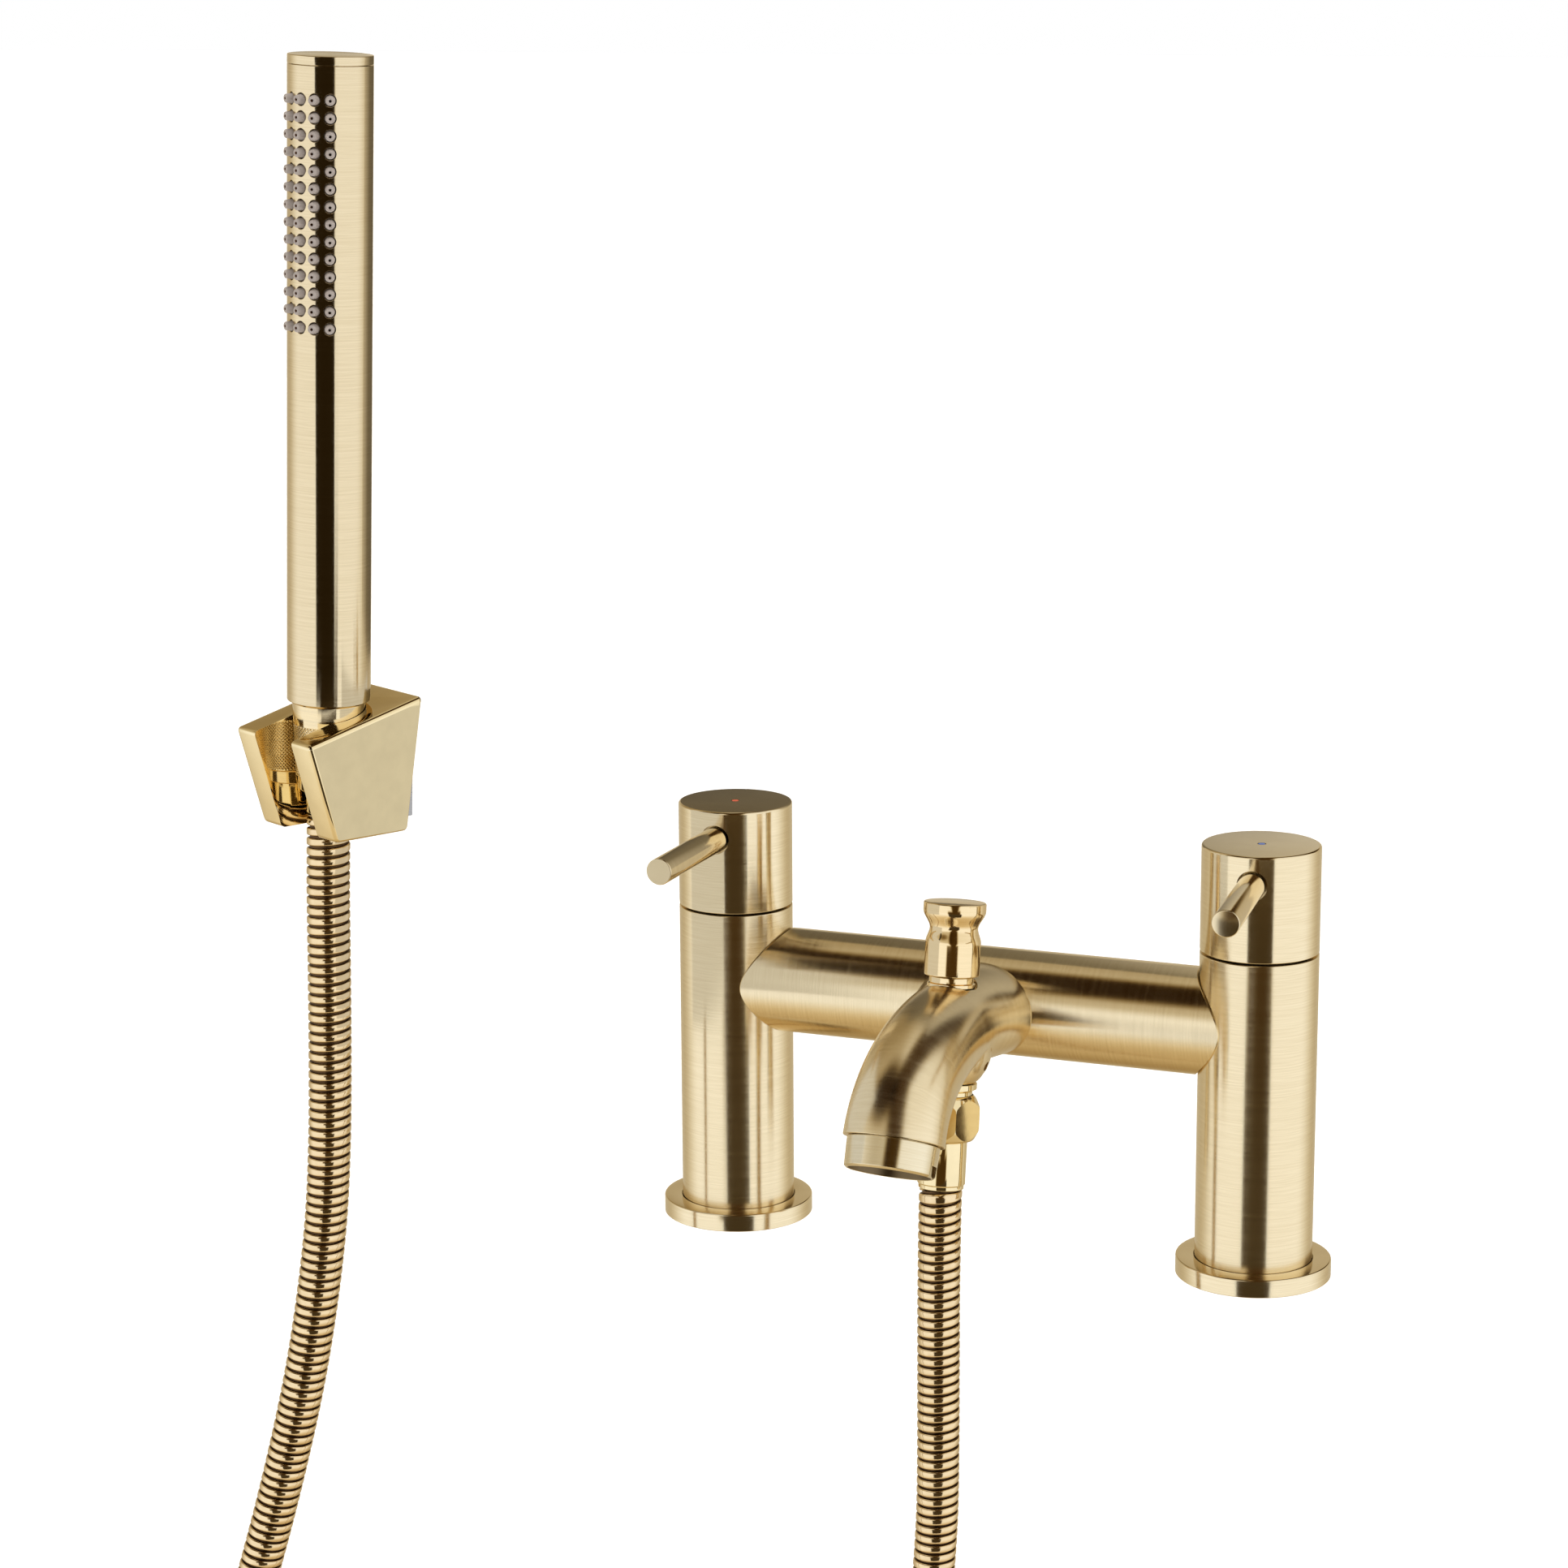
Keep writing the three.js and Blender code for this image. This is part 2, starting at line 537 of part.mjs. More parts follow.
// One copy of a part, made along Z, for each nozzle's place on the handset.
function atNozzles(make) {
  const copies = [];
  for (let row = 0; row < NOZZLE_ROWS; row += 1) {
    for (let column = 0; column < NOZZLE_COLUMNS; column += 1) {
      const spread = (column - (NOZZLE_COLUMNS - 1) / 2) * NOZZLE_SPREAD;
      const place = new THREE.Matrix4()
        .makeRotationZ(radians(NOZZLE_FACE + spread))
        .multiply(new THREE.Matrix4().makeTranslation(0, 0, NOZZLE_LOW + NOZZLE_PITCH * row))
        .multiply(new THREE.Matrix4().makeRotationX(Math.PI / 2));
      copies.push(toSolid(make().applyMatrix4(place)));
    }
  }
  return copies;
}

function handsetBody() {
  const tube = turned([
    [9.6, GAP], [HANDSET_R - 0.3, GAP], [HANDSET_R, GAP + 0.3], [HANDSET_R, CAP_SEAM], [11.6, CAP_SEAM],
    [11.6, 2.5], [9.6, 2.5],
  ], 36);
  const holes = wasm.Manifold.union(atNozzles(() => rod(1.8, 10.5, 15, 6)));
  return toGeometry(toSolid(tube).subtract(holes));
}

function nozzleStrip() {
  const low = NOZZLE_LOW - 5;
  const high = NOZZLE_LOW + NOZZLE_PITCH * (NOZZLE_ROWS - 1) + 5;
  const plate = common(ring(11.25, 9.9, low, high, 36), block(17, 13, high - low, 0, -6.5, (low + high) / 2))
    .rotateZ(radians(NOZZLE_FACE));
  const pip = () => turned([[0, 10.6], [1.5, 10.6], [0.9, NOZZLE_TIP], [0, NOZZLE_TIP]], 6);
  return toGeometry(wasm.Manifold.union([toSolid(plate), ...atNozzles(pip)]));
}

const RIB_START = 113;
function waterway() {
  return turned([
    [7.6, 9.4], [9.5, 9.4], [9.5, RIB_START - 5], [7.6, RIB_START - 5],
  ], 18);
}

add(handsetGroup, 'handset_body', 'satinBrass', handsetBody());
add(handsetGroup, 'handset_end_cap', 'satinBrass', turned([
  [0, 192.2], [11.3, 192.2], [11.3, CAP_SEAM + GAP], [HANDSET_R, CAP_SEAM + GAP],
  [HANDSET_R, HANDSET_LENGTH - 0.4], [HANDSET_R - 0.4, HANDSET_LENGTH], [0, HANDSET_LENGTH],
], 36));
add(handsetGroup, 'handset_nozzle_strip', 'greyRubber', nozzleStrip());
add(handsetGroup, 'handset_waterway', 'plastic', waterway());
add(handsetGroup, 'handset_inlet', 'rawBrass', turned([
  [6, INLET_FOOT], [9.2, INLET_FOOT], [9.2, 2.8], [11.3, 2.8], [11.3, 9.1], [6, 9.1],
], 24));
add(handsetGroup, 'handset_cone_nut', 'satinBrass', turned([
  [6.4, NUT_LOW], [9.2, NUT_LOW], [9.6, NUT_LOW + 0.4], [10.3, -23.7], [11.15, -7], [11.4, -0.6], [11.1, 0],
  [9.5, 0], [9.5, -16.8], [6.4, -16.8],
], 32));
add(handsetGroup, 'handset_washer', 'blackRubber', ring(9.2, 4.5, -14, -12.3));
add(handsetGroup, 'hose_upper_insert', 'rawBrass', turned([
  [3.6, -31.7], [6, -31.7], [6, -16.5], [9.2, -16.5], [9.2, -14.3], [3.6, -14.3],
], 18));
add(handsetGroup, 'hose_upper_ferrule', 'polishedBrass', turned([
  [4.2, UPPER_FERRULE_FOOT], [7.05, UPPER_FERRULE_FOOT], [7.05, NUT_LOW - GAP],
  [6.3, NUT_LOW - GAP], [6.3, -32], [4.2, -32],
], 24));

// ---------------------------------------------------------------- fork bracket and its wall plate

const SLOT_HALF_WIDTH = 8.7;
const TENON = { low: -32, high: -18, front: 14, halfWidth: 6 };
const BRACKET_GRUB_DEPTH = 15.9;

function bracketBody() {
  const body = slab(BRACKET_SIDE, 2 * BRACKET_HALF_WIDTH);
  const socket = turned([
    [0, -60], [SLOT_HALF_WIDTH, -60], [SLOT_HALF_WIDTH, NUT_LOW - GAP], [10, NUT_LOW - GAP], [10.65, -23.7],
    [11.75, 0], [11.9, 5], [0, 5],
  ], 36);
  const slot = block(2 * SLOT_HALF_WIDTH, 40, 80, 0, -20, -20);
  const pocket = block(
    2 * (TENON.halfWidth + GAP), 20, TENON.high - TENON.low + 2 * GAP,
    0, TENON.front - GAP + 10, (TENON.low + TENON.high) / 2);
  const grubHole = rod(1.8, -60, TENON.low, 14).translate(0, BRACKET_GRUB_DEPTH, 0);
  return cut(body, socket, slot, pocket, grubHole);
}

// The back of the bracket leans, so the plate is a wedge whose rear face is upright.
function wallPlate() {
  const lean = (23.8 - 18) / (0.9 + 42.2);
  const front = (z) => 23.8 + (z - 0.9) * lean + GAP;
  const wedge = slab([[front(-40), -40], [WALL_FACE, -40], [WALL_FACE, -2], [front(-2), -2]], 20);
  const tenon = block(
    2 * TENON.halfWidth, WALL_FACE - 1 - TENON.front, TENON.high - TENON.low,
    0, (WALL_FACE - 1 + TENON.front) / 2, (TENON.low + TENON.high) / 2);
  const screwHoles = [-36, -9].map((z) => rodAlongY(2.2, 10, 30, 16).translate(0, 0, z));
  return cut(join(wedge, tenon), ...screwHoles);
}

add(handsetGroup, 'bracket_body', 'polishedBrass', bracketBody());
add(handsetGroup, 'bracket_wall_plate', 'steel', wallPlate());
add(handsetGroup, 'bracket_grub_screw', 'steel',
  grubScrew(1.5, 0, 9).rotateX(Math.PI).translate(0, BRACKET_GRUB_DEPTH, TENON.low - GAP));

// ---------------------------------------------------------------- shower hose

// The hose hangs in the upright plane through its two ends. Each point is its distance from the
// lower end towards the handset, and its height.
const HOSE_ROUTE = [
  [0.3, 18], [0.5, -5], [0.5, -30], [0.5, -55], [0.8, -78], [2, -100], [4, -130],
  [6, -165], [8, -200], [11, -240], [17, -285], [29, -330], [50, -372], [80, -404], [118, -421],
  [158, -417], [194, -395], [222, -360], [240, -318], [248, -272], [249, -226], [245, -180],
  [236, -140], [225.5, -106], [216, -72], [207.8, -38], [202.4, -9], [198.6, 19], [196.6, 46],
  [195.6, 73], [195, 100], [194.5, 127], [194, 142],
];
const HOSE_FOOT = new THREE.Vector3(0, -48, 0);
const HOSE_HEADING = new THREE.Vector3(-0.9526, -0.3044, 0);

const onAxis = (group, distance) => new THREE.Vector3(0, 0, distance).applyMatrix4(group.matrix);
const hosePoints = [
  onAxis(diverterGroup, FERRULE_FOOT - 0.4),
  onAxis(diverterGroup, FERRULE_FOOT - 2.4),
  ...HOSE_ROUTE.map(([along, height]) =>
    HOSE_FOOT.clone().addScaledVector(HOSE_HEADING, along).setZ(height)),
  onAxis(handsetGroup, UPPER_FERRULE_FOOT - 2.4),
  onAxis(handsetGroup, UPPER_FERRULE_FOOT - 0.4),
];
const hoseLine = new THREE.CatmullRomCurve3(hosePoints, false, 'centripetal');
add(mixer, 'shower_hose', 'hoseBrass', bent(hoseLine, HOSE_R, 10, 56));

export default mixer;
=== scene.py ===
"""Looks for the bath shower mixer: fine meshes, materials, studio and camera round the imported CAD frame.

Lengths are millimetres in the group frames below and are scaled to metres when a mesh is made.
"""

import json
from math import cos, degrees, hypot, pi, radians, sin, sqrt

import bmesh
import bpy
import numpy as np
from mathutils import Matrix, Vector


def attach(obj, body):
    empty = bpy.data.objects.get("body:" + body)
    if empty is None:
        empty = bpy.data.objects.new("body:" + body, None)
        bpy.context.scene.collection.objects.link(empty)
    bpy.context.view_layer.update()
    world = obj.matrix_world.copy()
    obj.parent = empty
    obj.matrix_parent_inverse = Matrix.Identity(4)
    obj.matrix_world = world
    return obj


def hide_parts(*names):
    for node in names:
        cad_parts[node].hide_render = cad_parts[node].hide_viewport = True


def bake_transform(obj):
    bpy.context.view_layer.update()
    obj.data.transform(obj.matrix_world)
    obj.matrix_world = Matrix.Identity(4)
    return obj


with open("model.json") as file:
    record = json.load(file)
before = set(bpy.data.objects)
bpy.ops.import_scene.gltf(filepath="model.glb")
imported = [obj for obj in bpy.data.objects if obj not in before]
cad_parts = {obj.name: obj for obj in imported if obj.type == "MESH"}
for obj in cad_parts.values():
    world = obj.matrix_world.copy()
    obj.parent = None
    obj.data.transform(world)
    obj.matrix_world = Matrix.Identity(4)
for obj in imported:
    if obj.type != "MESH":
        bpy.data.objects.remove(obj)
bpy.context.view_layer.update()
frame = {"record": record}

MM = 0.001
scene = bpy.context.scene
scene.view_settings.view_transform = "Standard"

# ------------------------------------------------------------------ camera

CAMERA_PLACE = Vector((0.39214, -1.14912, 0.41858))
CAMERA_RIGHT = Vector((0.92753, 0.37369, -0.00565))
CAMERA_UP = Vector((-0.07427, 0.19911, 0.97716))
CAMERA_FORWARD = Vector((-0.36628, 0.90593, -0.21243))

lens = bpy.data.cameras.new("camera")
lens.lens = 88.09
lens.sensor_width = 36
lens.clip_start = 0.05
lens.clip_end = 60
camera = bpy.data.objects.new("camera", lens)
axes = Matrix((CAMERA_RIGHT, CAMERA_UP, -CAMERA_FORWARD)).transposed()
camera.matrix_world = Matrix.Translation(CAMERA_PLACE) @ axes.to_4x4()
scene.collection.objects.link(camera)
scene.camera = camera

# ------------------------------------------------------------------ frames of the tilted groups

def place(x, y, z):
    return Matrix.Translation(Vector((x, y, z)) * MM)


def turn(angle, axis):
    return Matrix.Rotation(radians(angle), 4, axis)


MIXER = Matrix.Identity(4)
HOT = place(-90, 0, 0)
COLD = place(90, 0, 0)
HOT_HANDLE = HOT @ turn(1.1, "Z")
COLD_HANDLE = COLD @ turn(6, "Z")
DIVERTER = place(0, -40.6, 84.1) @ turn(-8, "X")
HANDSET = place(-182.8, -107.4, 189.7) @ turn(-20.6, "Z") @ turn(2.9, "Y")


class Bezier:
    """The spout's centreline in the plane x = 0."""

    points = [np.array(p) for p in ((-13.1, 81.9), (-60.5, 89.3), (-84.4, 77.4), (-90.9, 60.8))]

    @classmethod
    def at(cls, t):
        a, b, c, d = cls.points
        s = 1 - t
        return s**3 * a + 3 * s * s * t * b + 3 * s * t * t * c + t**3 * d

    @classmethod
    def tangent(cls, t):
        a, b, c, d = cls.points
        s = 1 - t
        v = 3 * s * s * (b - a) + 6 * s * t * (c - b) + 3 * t * t * (d - c)
        return v / np.linalg.norm(v)


AERATOR_LEAN = 24.5        # degrees from upright
AERATOR = place(0, *Bezier.at(1)) @ turn(-AERATOR_LEAN, "X")

# ------------------------------------------------------------------ node helpers


def new_material(name):
    material = bpy.data.materials.new(name)
    material.use_nodes = True
    nodes, links = material.node_tree.nodes, material.node_tree.links
    return material, nodes, links, nodes["Principled BSDF"]


def stretched_noise(nodes, links, scale, detail=3, source="Object"):
    """Noise drawn out along the axes whose scale is small."""
    coords = nodes.new("ShaderNodeTexCoord")
    mapping = nodes.new("ShaderNodeMapping")
    mapping.inputs["Scale"].default_value = scale
    noise = nodes.new("ShaderNodeTexNoise")
    noise.inputs["Scale"].default_value = 1
    noise.inputs["Detail"].default_value = detail
    links.new(coords.outputs[source], mapping.inputs["Vector"])
    links.new(mapping.outputs["Vector"], noise.inputs["Vector"])
    return noise.outputs["Fac"]


def ramp(nodes, links, value, stops):
    node = nodes.new("ShaderNodeValToRGB")
    elements = node.color_ramp.elements
    while len(elements) < len(stops):
        elements.new(0.5)
    for element, (position, colour) in zip(elements, stops):
        element.position = position
        element.color = (*colour, 1) if len(colour) == 3 else colour
    links.new(value, node.inputs["Fac"])
    return node.outputs["Color"]


def grey_range(nodes, links, value, low, high, from_low=0.3, from_high=0.7):
    node = nodes.new("ShaderNodeMapRange")
    node.inputs["From Min"].default_value = from_low
    node.inputs["From Max"].default_value = from_high
    node.inputs["To Min"].default_value = low
    node.inputs["To Max"].default_value = high
    links.new(value, node.inputs["Value"])
    return node.outputs["Result"]


def bump(nodes, links, shader, height, strength, distance):
    node = nodes.new("ShaderNodeBump")
    node.inputs["Strength"].default_value = strength
    node.inputs["Distance"].default_value = distance
    links.new(height, node.inputs["Height"])
    links.new(node.outputs["Normal"], shader.inputs["Normal"])


def brushed(name, colour, dark, roughness, lines, grain=0.035, source="Object", axis=None):
    """Metal with fine brush lines; lines is the noise scale, large across the lines.

    A turned piece names its axis, and its reflections then spread along it."""
    material, nodes, links, shader = new_material(name)
    if axis:
        tangent = nodes.new("ShaderNodeTangent")
        tangent.direction_type = "RADIAL"
        tangent.axis = axis
        links.new(tangent.outputs["Tangent"], shader.inputs["Tangent"])
        shader.inputs["Anisotropic"].default_value = 0.75
        shader.inputs["Anisotropic Rotation"].default_value = 0.25
    shader.inputs["Metallic"].default_value = 1
    shader.inputs["Specular IOR Level"].default_value = 0.5
    fine = stretched_noise(nodes, links, lines, 4, source)
    broad = stretched_noise(nodes, links, [0.18 * s for s in lines], 2, source)
    both = nodes.new("ShaderNodeMath")
    both.operation = "ADD"
    links.new(fine, both.inputs[0])
    links.new(broad, both.inputs[1])
    links.new(ramp(nodes, links, fine, [(0.25, dark), (0.7, colour)]), shader.inputs["Base Color"])
    links.new(grey_range(nodes, links, both.outputs[0], roughness * 0.86, roughness * 1.16, 0.7, 1.3),
              shader.inputs["Roughness"])
    bump(nodes, links, shader, fine, grain, 0.0002)
    return material


def polished(name, colour, roughness, wave=0.02):
    """Plated metal: bright, with a faint unevenness under the plating."""
    material, nodes, links, shader = new_material(name)
    shader.inputs["Metallic"].default_value = 1
    cloud = stretched_noise(nodes, links, (160, 160, 160), 2)
    shade = tuple(0.94 * c for c in colour)
    links.new(ramp(nodes, links, cloud, [(0.3, shade), (0.7, colour)]), shader.inputs["Base Color"])
    links.new(grey_range(nodes, links, cloud, roughness * 0.8, roughness * 1.25), shader.inputs["Roughness"])
    bump(nodes, links, shader, cloud, wave, 0.0004)
    return material


def soft(name, colour, roughness, speckle=0.08, specular=0.4):
    """Rubber, plastic or ceramic with a fine grain."""
    material, nodes, links, shader = new_material(name)
    cloud = stretched_noise(nodes, links, (900, 900, 900), 3)
    shade = tuple((1 - speckle) * c for c in colour)
    links.new(ramp(nodes, links, cloud, [(0.3, shade), (0.7, colour)]), shader.inputs["Base Color"])
    links.new(grey_range(nodes, links, cloud, roughness * 0.9, roughness * 1.1), shader.inputs["Roughness"])
    shader.inputs["Specular IOR Level"].default_value = specular
    bump(nodes, links, shader, cloud, 0.05, 0.0002)
    return material


SATIN = (0.885, 0.755, 0.505)
SATIN_DARK = (0.80, 0.665, 0.425)
GOLD = (0.92, 0.77, 0.465)
SLOW, FAST = 60, 2600

satin_z = brushed("satin_brass_round_z", SATIN, SATIN_DARK, 0.2, (SLOW, SLOW, FAST), axis="Z")
satin_x = brushed("satin_brass_round_x", SATIN, SATIN_DARK, 0.2, (FAST, SLOW, SLOW), axis="X")
satin_spout = brushed("satin_brass_spout", SATIN, SATIN_DARK, 0.23, (18, 0.9, 1), source="UV")
# the handset's satin is the same brass made darker: painted shade over the whole handset
handset_shaded_satin = brushed("satin_brass_handset_painted_shade", (0.80, 0.67, 0.44), (0.72, 0.59, 0.37), 0.13,
                        (SLOW, SLOW, FAST), 0.02, axis="Z")
# dark brass painted into the aerator's bore as shade
aerator_bore_shade = brushed("aerator_bore_painted_shade", (0.22, 0.16, 0.09), (0.14, 0.10, 0.05), 0.35, (60, 60, 60), 0.01)
aerator_satin = brushed("satin_brass_pale", (0.87, 0.77, 0.55), (0.80, 0.69, 0.47), 0.18, (SLOW, SLOW, FAST),
                        axis="Z")
knob_brass = brushed("polished_brass_turned", (0.93, 0.75, 0.46), (0.88, 0.70, 0.41), 0.09,
                     (SLOW, SLOW, FAST), 0.01)
gold = polished("polished_brass", GOLD, 0.06)
hose_brass = brushed("hose_brass", (0.88, 0.70, 0.43), (0.78, 0.60, 0.35), 0.12, (300, 300, 300), 0.01)
# dark brass painted into the hose's grooves as shade between the windings
hose_groove_shade = brushed("hose_brass_painted_groove_shade", (0.16, 0.09, 0.04), (0.10, 0.055, 0.025), 0.4, (300, 300, 300),
                      0.01)
raw_brass = brushed("machined_brass", (0.70, 0.54, 0.30), (0.60, 0.46, 0.25), 0.35, (SLOW, SLOW, FAST))
steel = brushed("machined_steel", (0.62, 0.62, 0.63), (0.52, 0.52, 0.53), 0.28, (SLOW, SLOW, FAST))
ceramic = soft("ceramic", (0.86, 0.83, 0.78), 0.25)
black_rubber = soft("black_rubber", (0.02, 0.02, 0.021), 0.6)
grey_rubber = soft("grey_rubber", (0.42, 0.37, 0.34), 0.5, 0.1)
# dark brown painted into the nozzle holes as shade
nozzle_bore_painted_shade = soft("nozzle_bore_painted_shade", (0.16, 0.075, 0.035), 0.6)
plastic = soft("plastic", (0.62, 0.63, 0.64), 0.4)
red_index = soft("red_index", (0.55, 0.10, 0.05), 0.35)
blue_index = soft("blue_index", (0.07, 0.12, 0.34), 0.35)

# ------------------------------------------------------------------ mesh helpers


def new_piece(name, mesh, matrix, body, material, replaced=()):
    """A piece whose mesh is in metres in its group's frame."""
    piece = bpy.data.objects.new(name, mesh)
    piece.matrix_world = matrix
    scene.collection.objects.link(piece)
    materials = material if isinstance(material, (list, tuple)) else [material]
    for entry in materials:
        mesh.materials.append(entry)
    if body:
        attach(piece, body)
    if replaced:
        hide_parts(*replaced)
    return piece


def mesh_from(name, points, faces, sharp=30):
    mesh = bpy.data.meshes.new(name)
    mesh.from_pydata([tuple(np.asarray(p) * MM) for p in points], [], faces)
    mesh.validate()
    tidy_mesh(mesh)
    smooth(mesh, sharp)
    return mesh


def tidy_mesh(mesh):
    work = bmesh.new()
    work.from_mesh(mesh)
    bmesh.ops.remove_doubles(work, verts=work.verts, dist=2e-7)
    bmesh.ops.recalc_face_normals(work, faces=work.faces)
    work.to_mesh(mesh)
    work.free()


def smooth(mesh, sharp=30):
    mesh.polygons.foreach_set("use_smooth", [True] * len(mesh.polygons))
    mesh.set_sharp_from_angle(angle=radians(sharp))


def rounded(corners, steps=5):
    """A profile from (r, z) corners and (r, z, fillet) corners; the first and last stay as they are."""
    out = []
    for index, corner in enumerate(corners):
        point = np.array(corner[:2], float)
        fillet = corner[2] if len(corner) > 2 else 0
        if not fillet or index in (0, len(corners) - 1):
            out.append(tuple(point))
            continue
        before = np.array(corners[index - 1][:2], float) - point
        after = np.array(corners[index + 1][:2], float) - point
        before /= np.linalg.norm(before)
        after /= np.linalg.norm(after)
        half = np.arccos(np.clip(before @ after, -1, 1)) / 2
        reach = fillet / np.tan(half)
        start, end = point + before * reach, point + after * reach
        middle = (before + after) / np.linalg.norm(before + after)
        centre = point + middle * fillet / np.sin(half)
        a, b = start - centre, end - centre
        sweep = np.arccos(np.clip(a @ b / (fillet * fillet), -1, 1))
        for k in range(steps + 1):
            share = k / steps
            arc = (np.sin((1 - share) * sweep) * a + np.sin(share * sweep) * b) / np.sin(sweep)
            out.append(tuple(centre + arc))
    return out


def lathe(name, profile, segments=128, sharp=30, closed=False):
    """A profile of (r, z) turned about Z. A closed profile makes a ring."""
    points, rows = [], []
    for r, z in profile:
        if r < 1e-6:
            rows.append([len(points)] * segments)
            points.append((0, 0, z))
            continue
        rows.append([len(points) + k for k in range(segments)])
        angles = [2 * pi * k / segments for k in range(segments)]
        points += [(r * cos(angle), r * sin(angle), z) for angle in angles]
    if closed:
        rows.append(rows[0])
    faces = []
    for low, high in zip(rows, rows[1:]):
        for k in range(segments):
            j = (k + 1) % segments
            face = list(dict.fromkeys((low[k], low[j], high[j], high[k])))
            if len(face) > 2:
                faces.append(face)
    return mesh_from(name, points, faces, sharp)


def grid(name, rows, sharp=30, caps=True):
    """A skin over equal rings of points, each closed, with the ends filled."""
    count = len(rows[0])
    points = [p for row in rows for p in row]
    faces = []
    for k in range(len(rows) - 1):
        for i in range(count):
            j = (i + 1) % count
            faces.append((k * count + i, k * count + j, (k + 1) * count + j, (k + 1) * count + i))
    if caps:
        last = (len(rows) - 1) * count
        faces.append(tuple(range(count)))
        faces.append(tuple(last + i for i in reversed(range(count))))
    return mesh_from(name, points, faces, sharp)


def temporary(mesh, matrix=MIXER):
    piece = bpy.data.objects.new("tool", mesh)
    piece.matrix_world = matrix
    scene.collection.objects.link(piece)
    return piece


def combined(mesh, tools, operation="DIFFERENCE", matrix=MIXER):
    """The mesh after a boolean with (mesh, matrix) tools; all matrices are in the row frame."""
    target = temporary(mesh, matrix)
    for tool_mesh, tool_matrix in tools:
        tool = temporary(tool_mesh, tool_matrix)
        modifier = target.modifiers.new("boolean", "BOOLEAN")
        modifier.operation = operation
        modifier.solver = "EXACT"
        modifier.object = tool
    bpy.context.view_layer.update()
    graph = bpy.context.evaluated_depsgraph_get()
    result = bpy.data.meshes.new_from_object(target.evaluated_get(graph))
    used = [m.object for m in target.modifiers]
    for piece in [target, *used]:
        bpy.data.objects.remove(piece)
    result.materials.clear()
    result.name = mesh.name
    return result


def true_round(mesh, surfaces, tolerance=0.06):
    """Exact normals on turned surfaces, so cuts leave no dents in the shading.

    Each surface is (axis, centre, radius) in millimetres in the mesh's own frame."""
    co = np.array([v.co for v in mesh.vertices]) / MM
    normals = [Vector((0, 0, 0))] * len(mesh.loops)
    split = [Vector(n.vector) for n in mesh.corner_normals]
    for polygon in mesh.polygons:
        face_normal = np.array(polygon.normal)
        corners = co[list(polygon.vertices)]
        chosen = None
        for axis, centre, radius in surfaces:
            axis, centre = np.array(axis, float), np.array(centre, float)
            off = corners - centre
            off = off - np.outer(off @ axis, axis)
            size = np.linalg.norm(off, axis=1)
            if np.all(np.abs(size - radius) < tolerance) and abs(face_normal @ axis) < 0.12:
                chosen = off / size[:, None]
                if chosen.mean(0) @ face_normal < 0:
                    chosen = -chosen
                break
        for k, loop in enumerate(polygon.loop_indices):
            normals[loop] = Vector(chosen[k]) if chosen is not None else split[loop]
    mesh.normals_split_custom_set(normals)


def cylinder_mesh(radius, low, high, segments=96):
    return lathe("tool", [(0, low), (radius, low), (radius, high), (0, high)], segments)


def along_y(matrix=MIXER):
    return matrix @ turn(-90, "X")


# ------------------------------------------------------------------ the hose

HOSE_R = 6.9
HOSE_PITCH = 3.2
HOSE_SIDES = 40
HOSE_HEADING = np.array([-0.9526, -0.3044, 0.0])
HOSE_FOOT = np.array([0.0, -48.0, 0.0])
HOSE_ROUTE = [
    (0.3, 18), (0.5, -5), (0.5, -30), (0.5, -55), (0.8, -78), (2, -100), (4, -130),
    (6, -165), (8, -200), (11, -240), (17, -285), (29, -330), (50, -372), (80, -404), (118, -421),
    (158, -417), (194, -395), (222, -360), (240, -318), (248, -272), (249, -226), (245, -180),
    (236, -140), (225.5, -106), (216, -72), (207.8, -38), (202.4, -9), (198.6, 19), (196.6, 46),
    (195.6, 73), (195, 100), (194.5, 127), (194, 142),
]
FERRULE_FOOT = -51.9
UPPER_FERRULE_FOOT = -36


def on_axis(matrix, distance):
    return np.array(matrix @ Vector((0, 0, distance * MM))) / MM


def hose_points():
    lower = [on_axis(DIVERTER, FERRULE_FOOT - 0.4), on_axis(DIVERTER, FERRULE_FOOT - 2.4)]
    upper = [on_axis(HANDSET, UPPER_FERRULE_FOOT - 2.4), on_axis(HANDSET, UPPER_FERRULE_FOOT - 0.4)]
    middle = [HOSE_FOOT + HOSE_HEADING * along + np.array([0, 0, height]) for along, height in HOSE_ROUTE]
    return lower + middle + upper


def centripetal(points, per_span=24):
    """A centripetal Catmull-Rom curve through the points."""
    points = [2 * points[0] - points[1], *points, 2 * points[-1] - points[-2]]
    out = []
    for a, b, c, d in zip(points, points[1:], points[2:], points[3:]):
        t0 = 0
        t1 = t0 + sqrt(np.linalg.norm(b - a))
        t2 = t1 + sqrt(np.linalg.norm(c - b))
        t3 = t2 + sqrt(np.linalg.norm(d - c))
        for t in np.linspace(t1, t2, per_span, endpoint=False):
            a1 = (t1 - t) / (t1 - t0) * a + (t - t0) / (t1 - t0) * b
            a2 = (t2 - t) / (t2 - t1) * b + (t - t1) / (t2 - t1) * c
            a3 = (t3 - t) / (t3 - t2) * c + (t - t2) / (t3 - t2) * d
            b1 = (t2 - t) / (t2 - t0) * a1 + (t - t0) / (t2 - t0) * a2
            b2 = (t3 - t) / (t3 - t1) * a2 + (t - t1) / (t3 - t1) * a3
            out.append((t2 - t) / (t2 - t1) * b1 + (t - t1) / (t2 - t1) * b2)
    out.append(points[-2])
    return np.array(out)


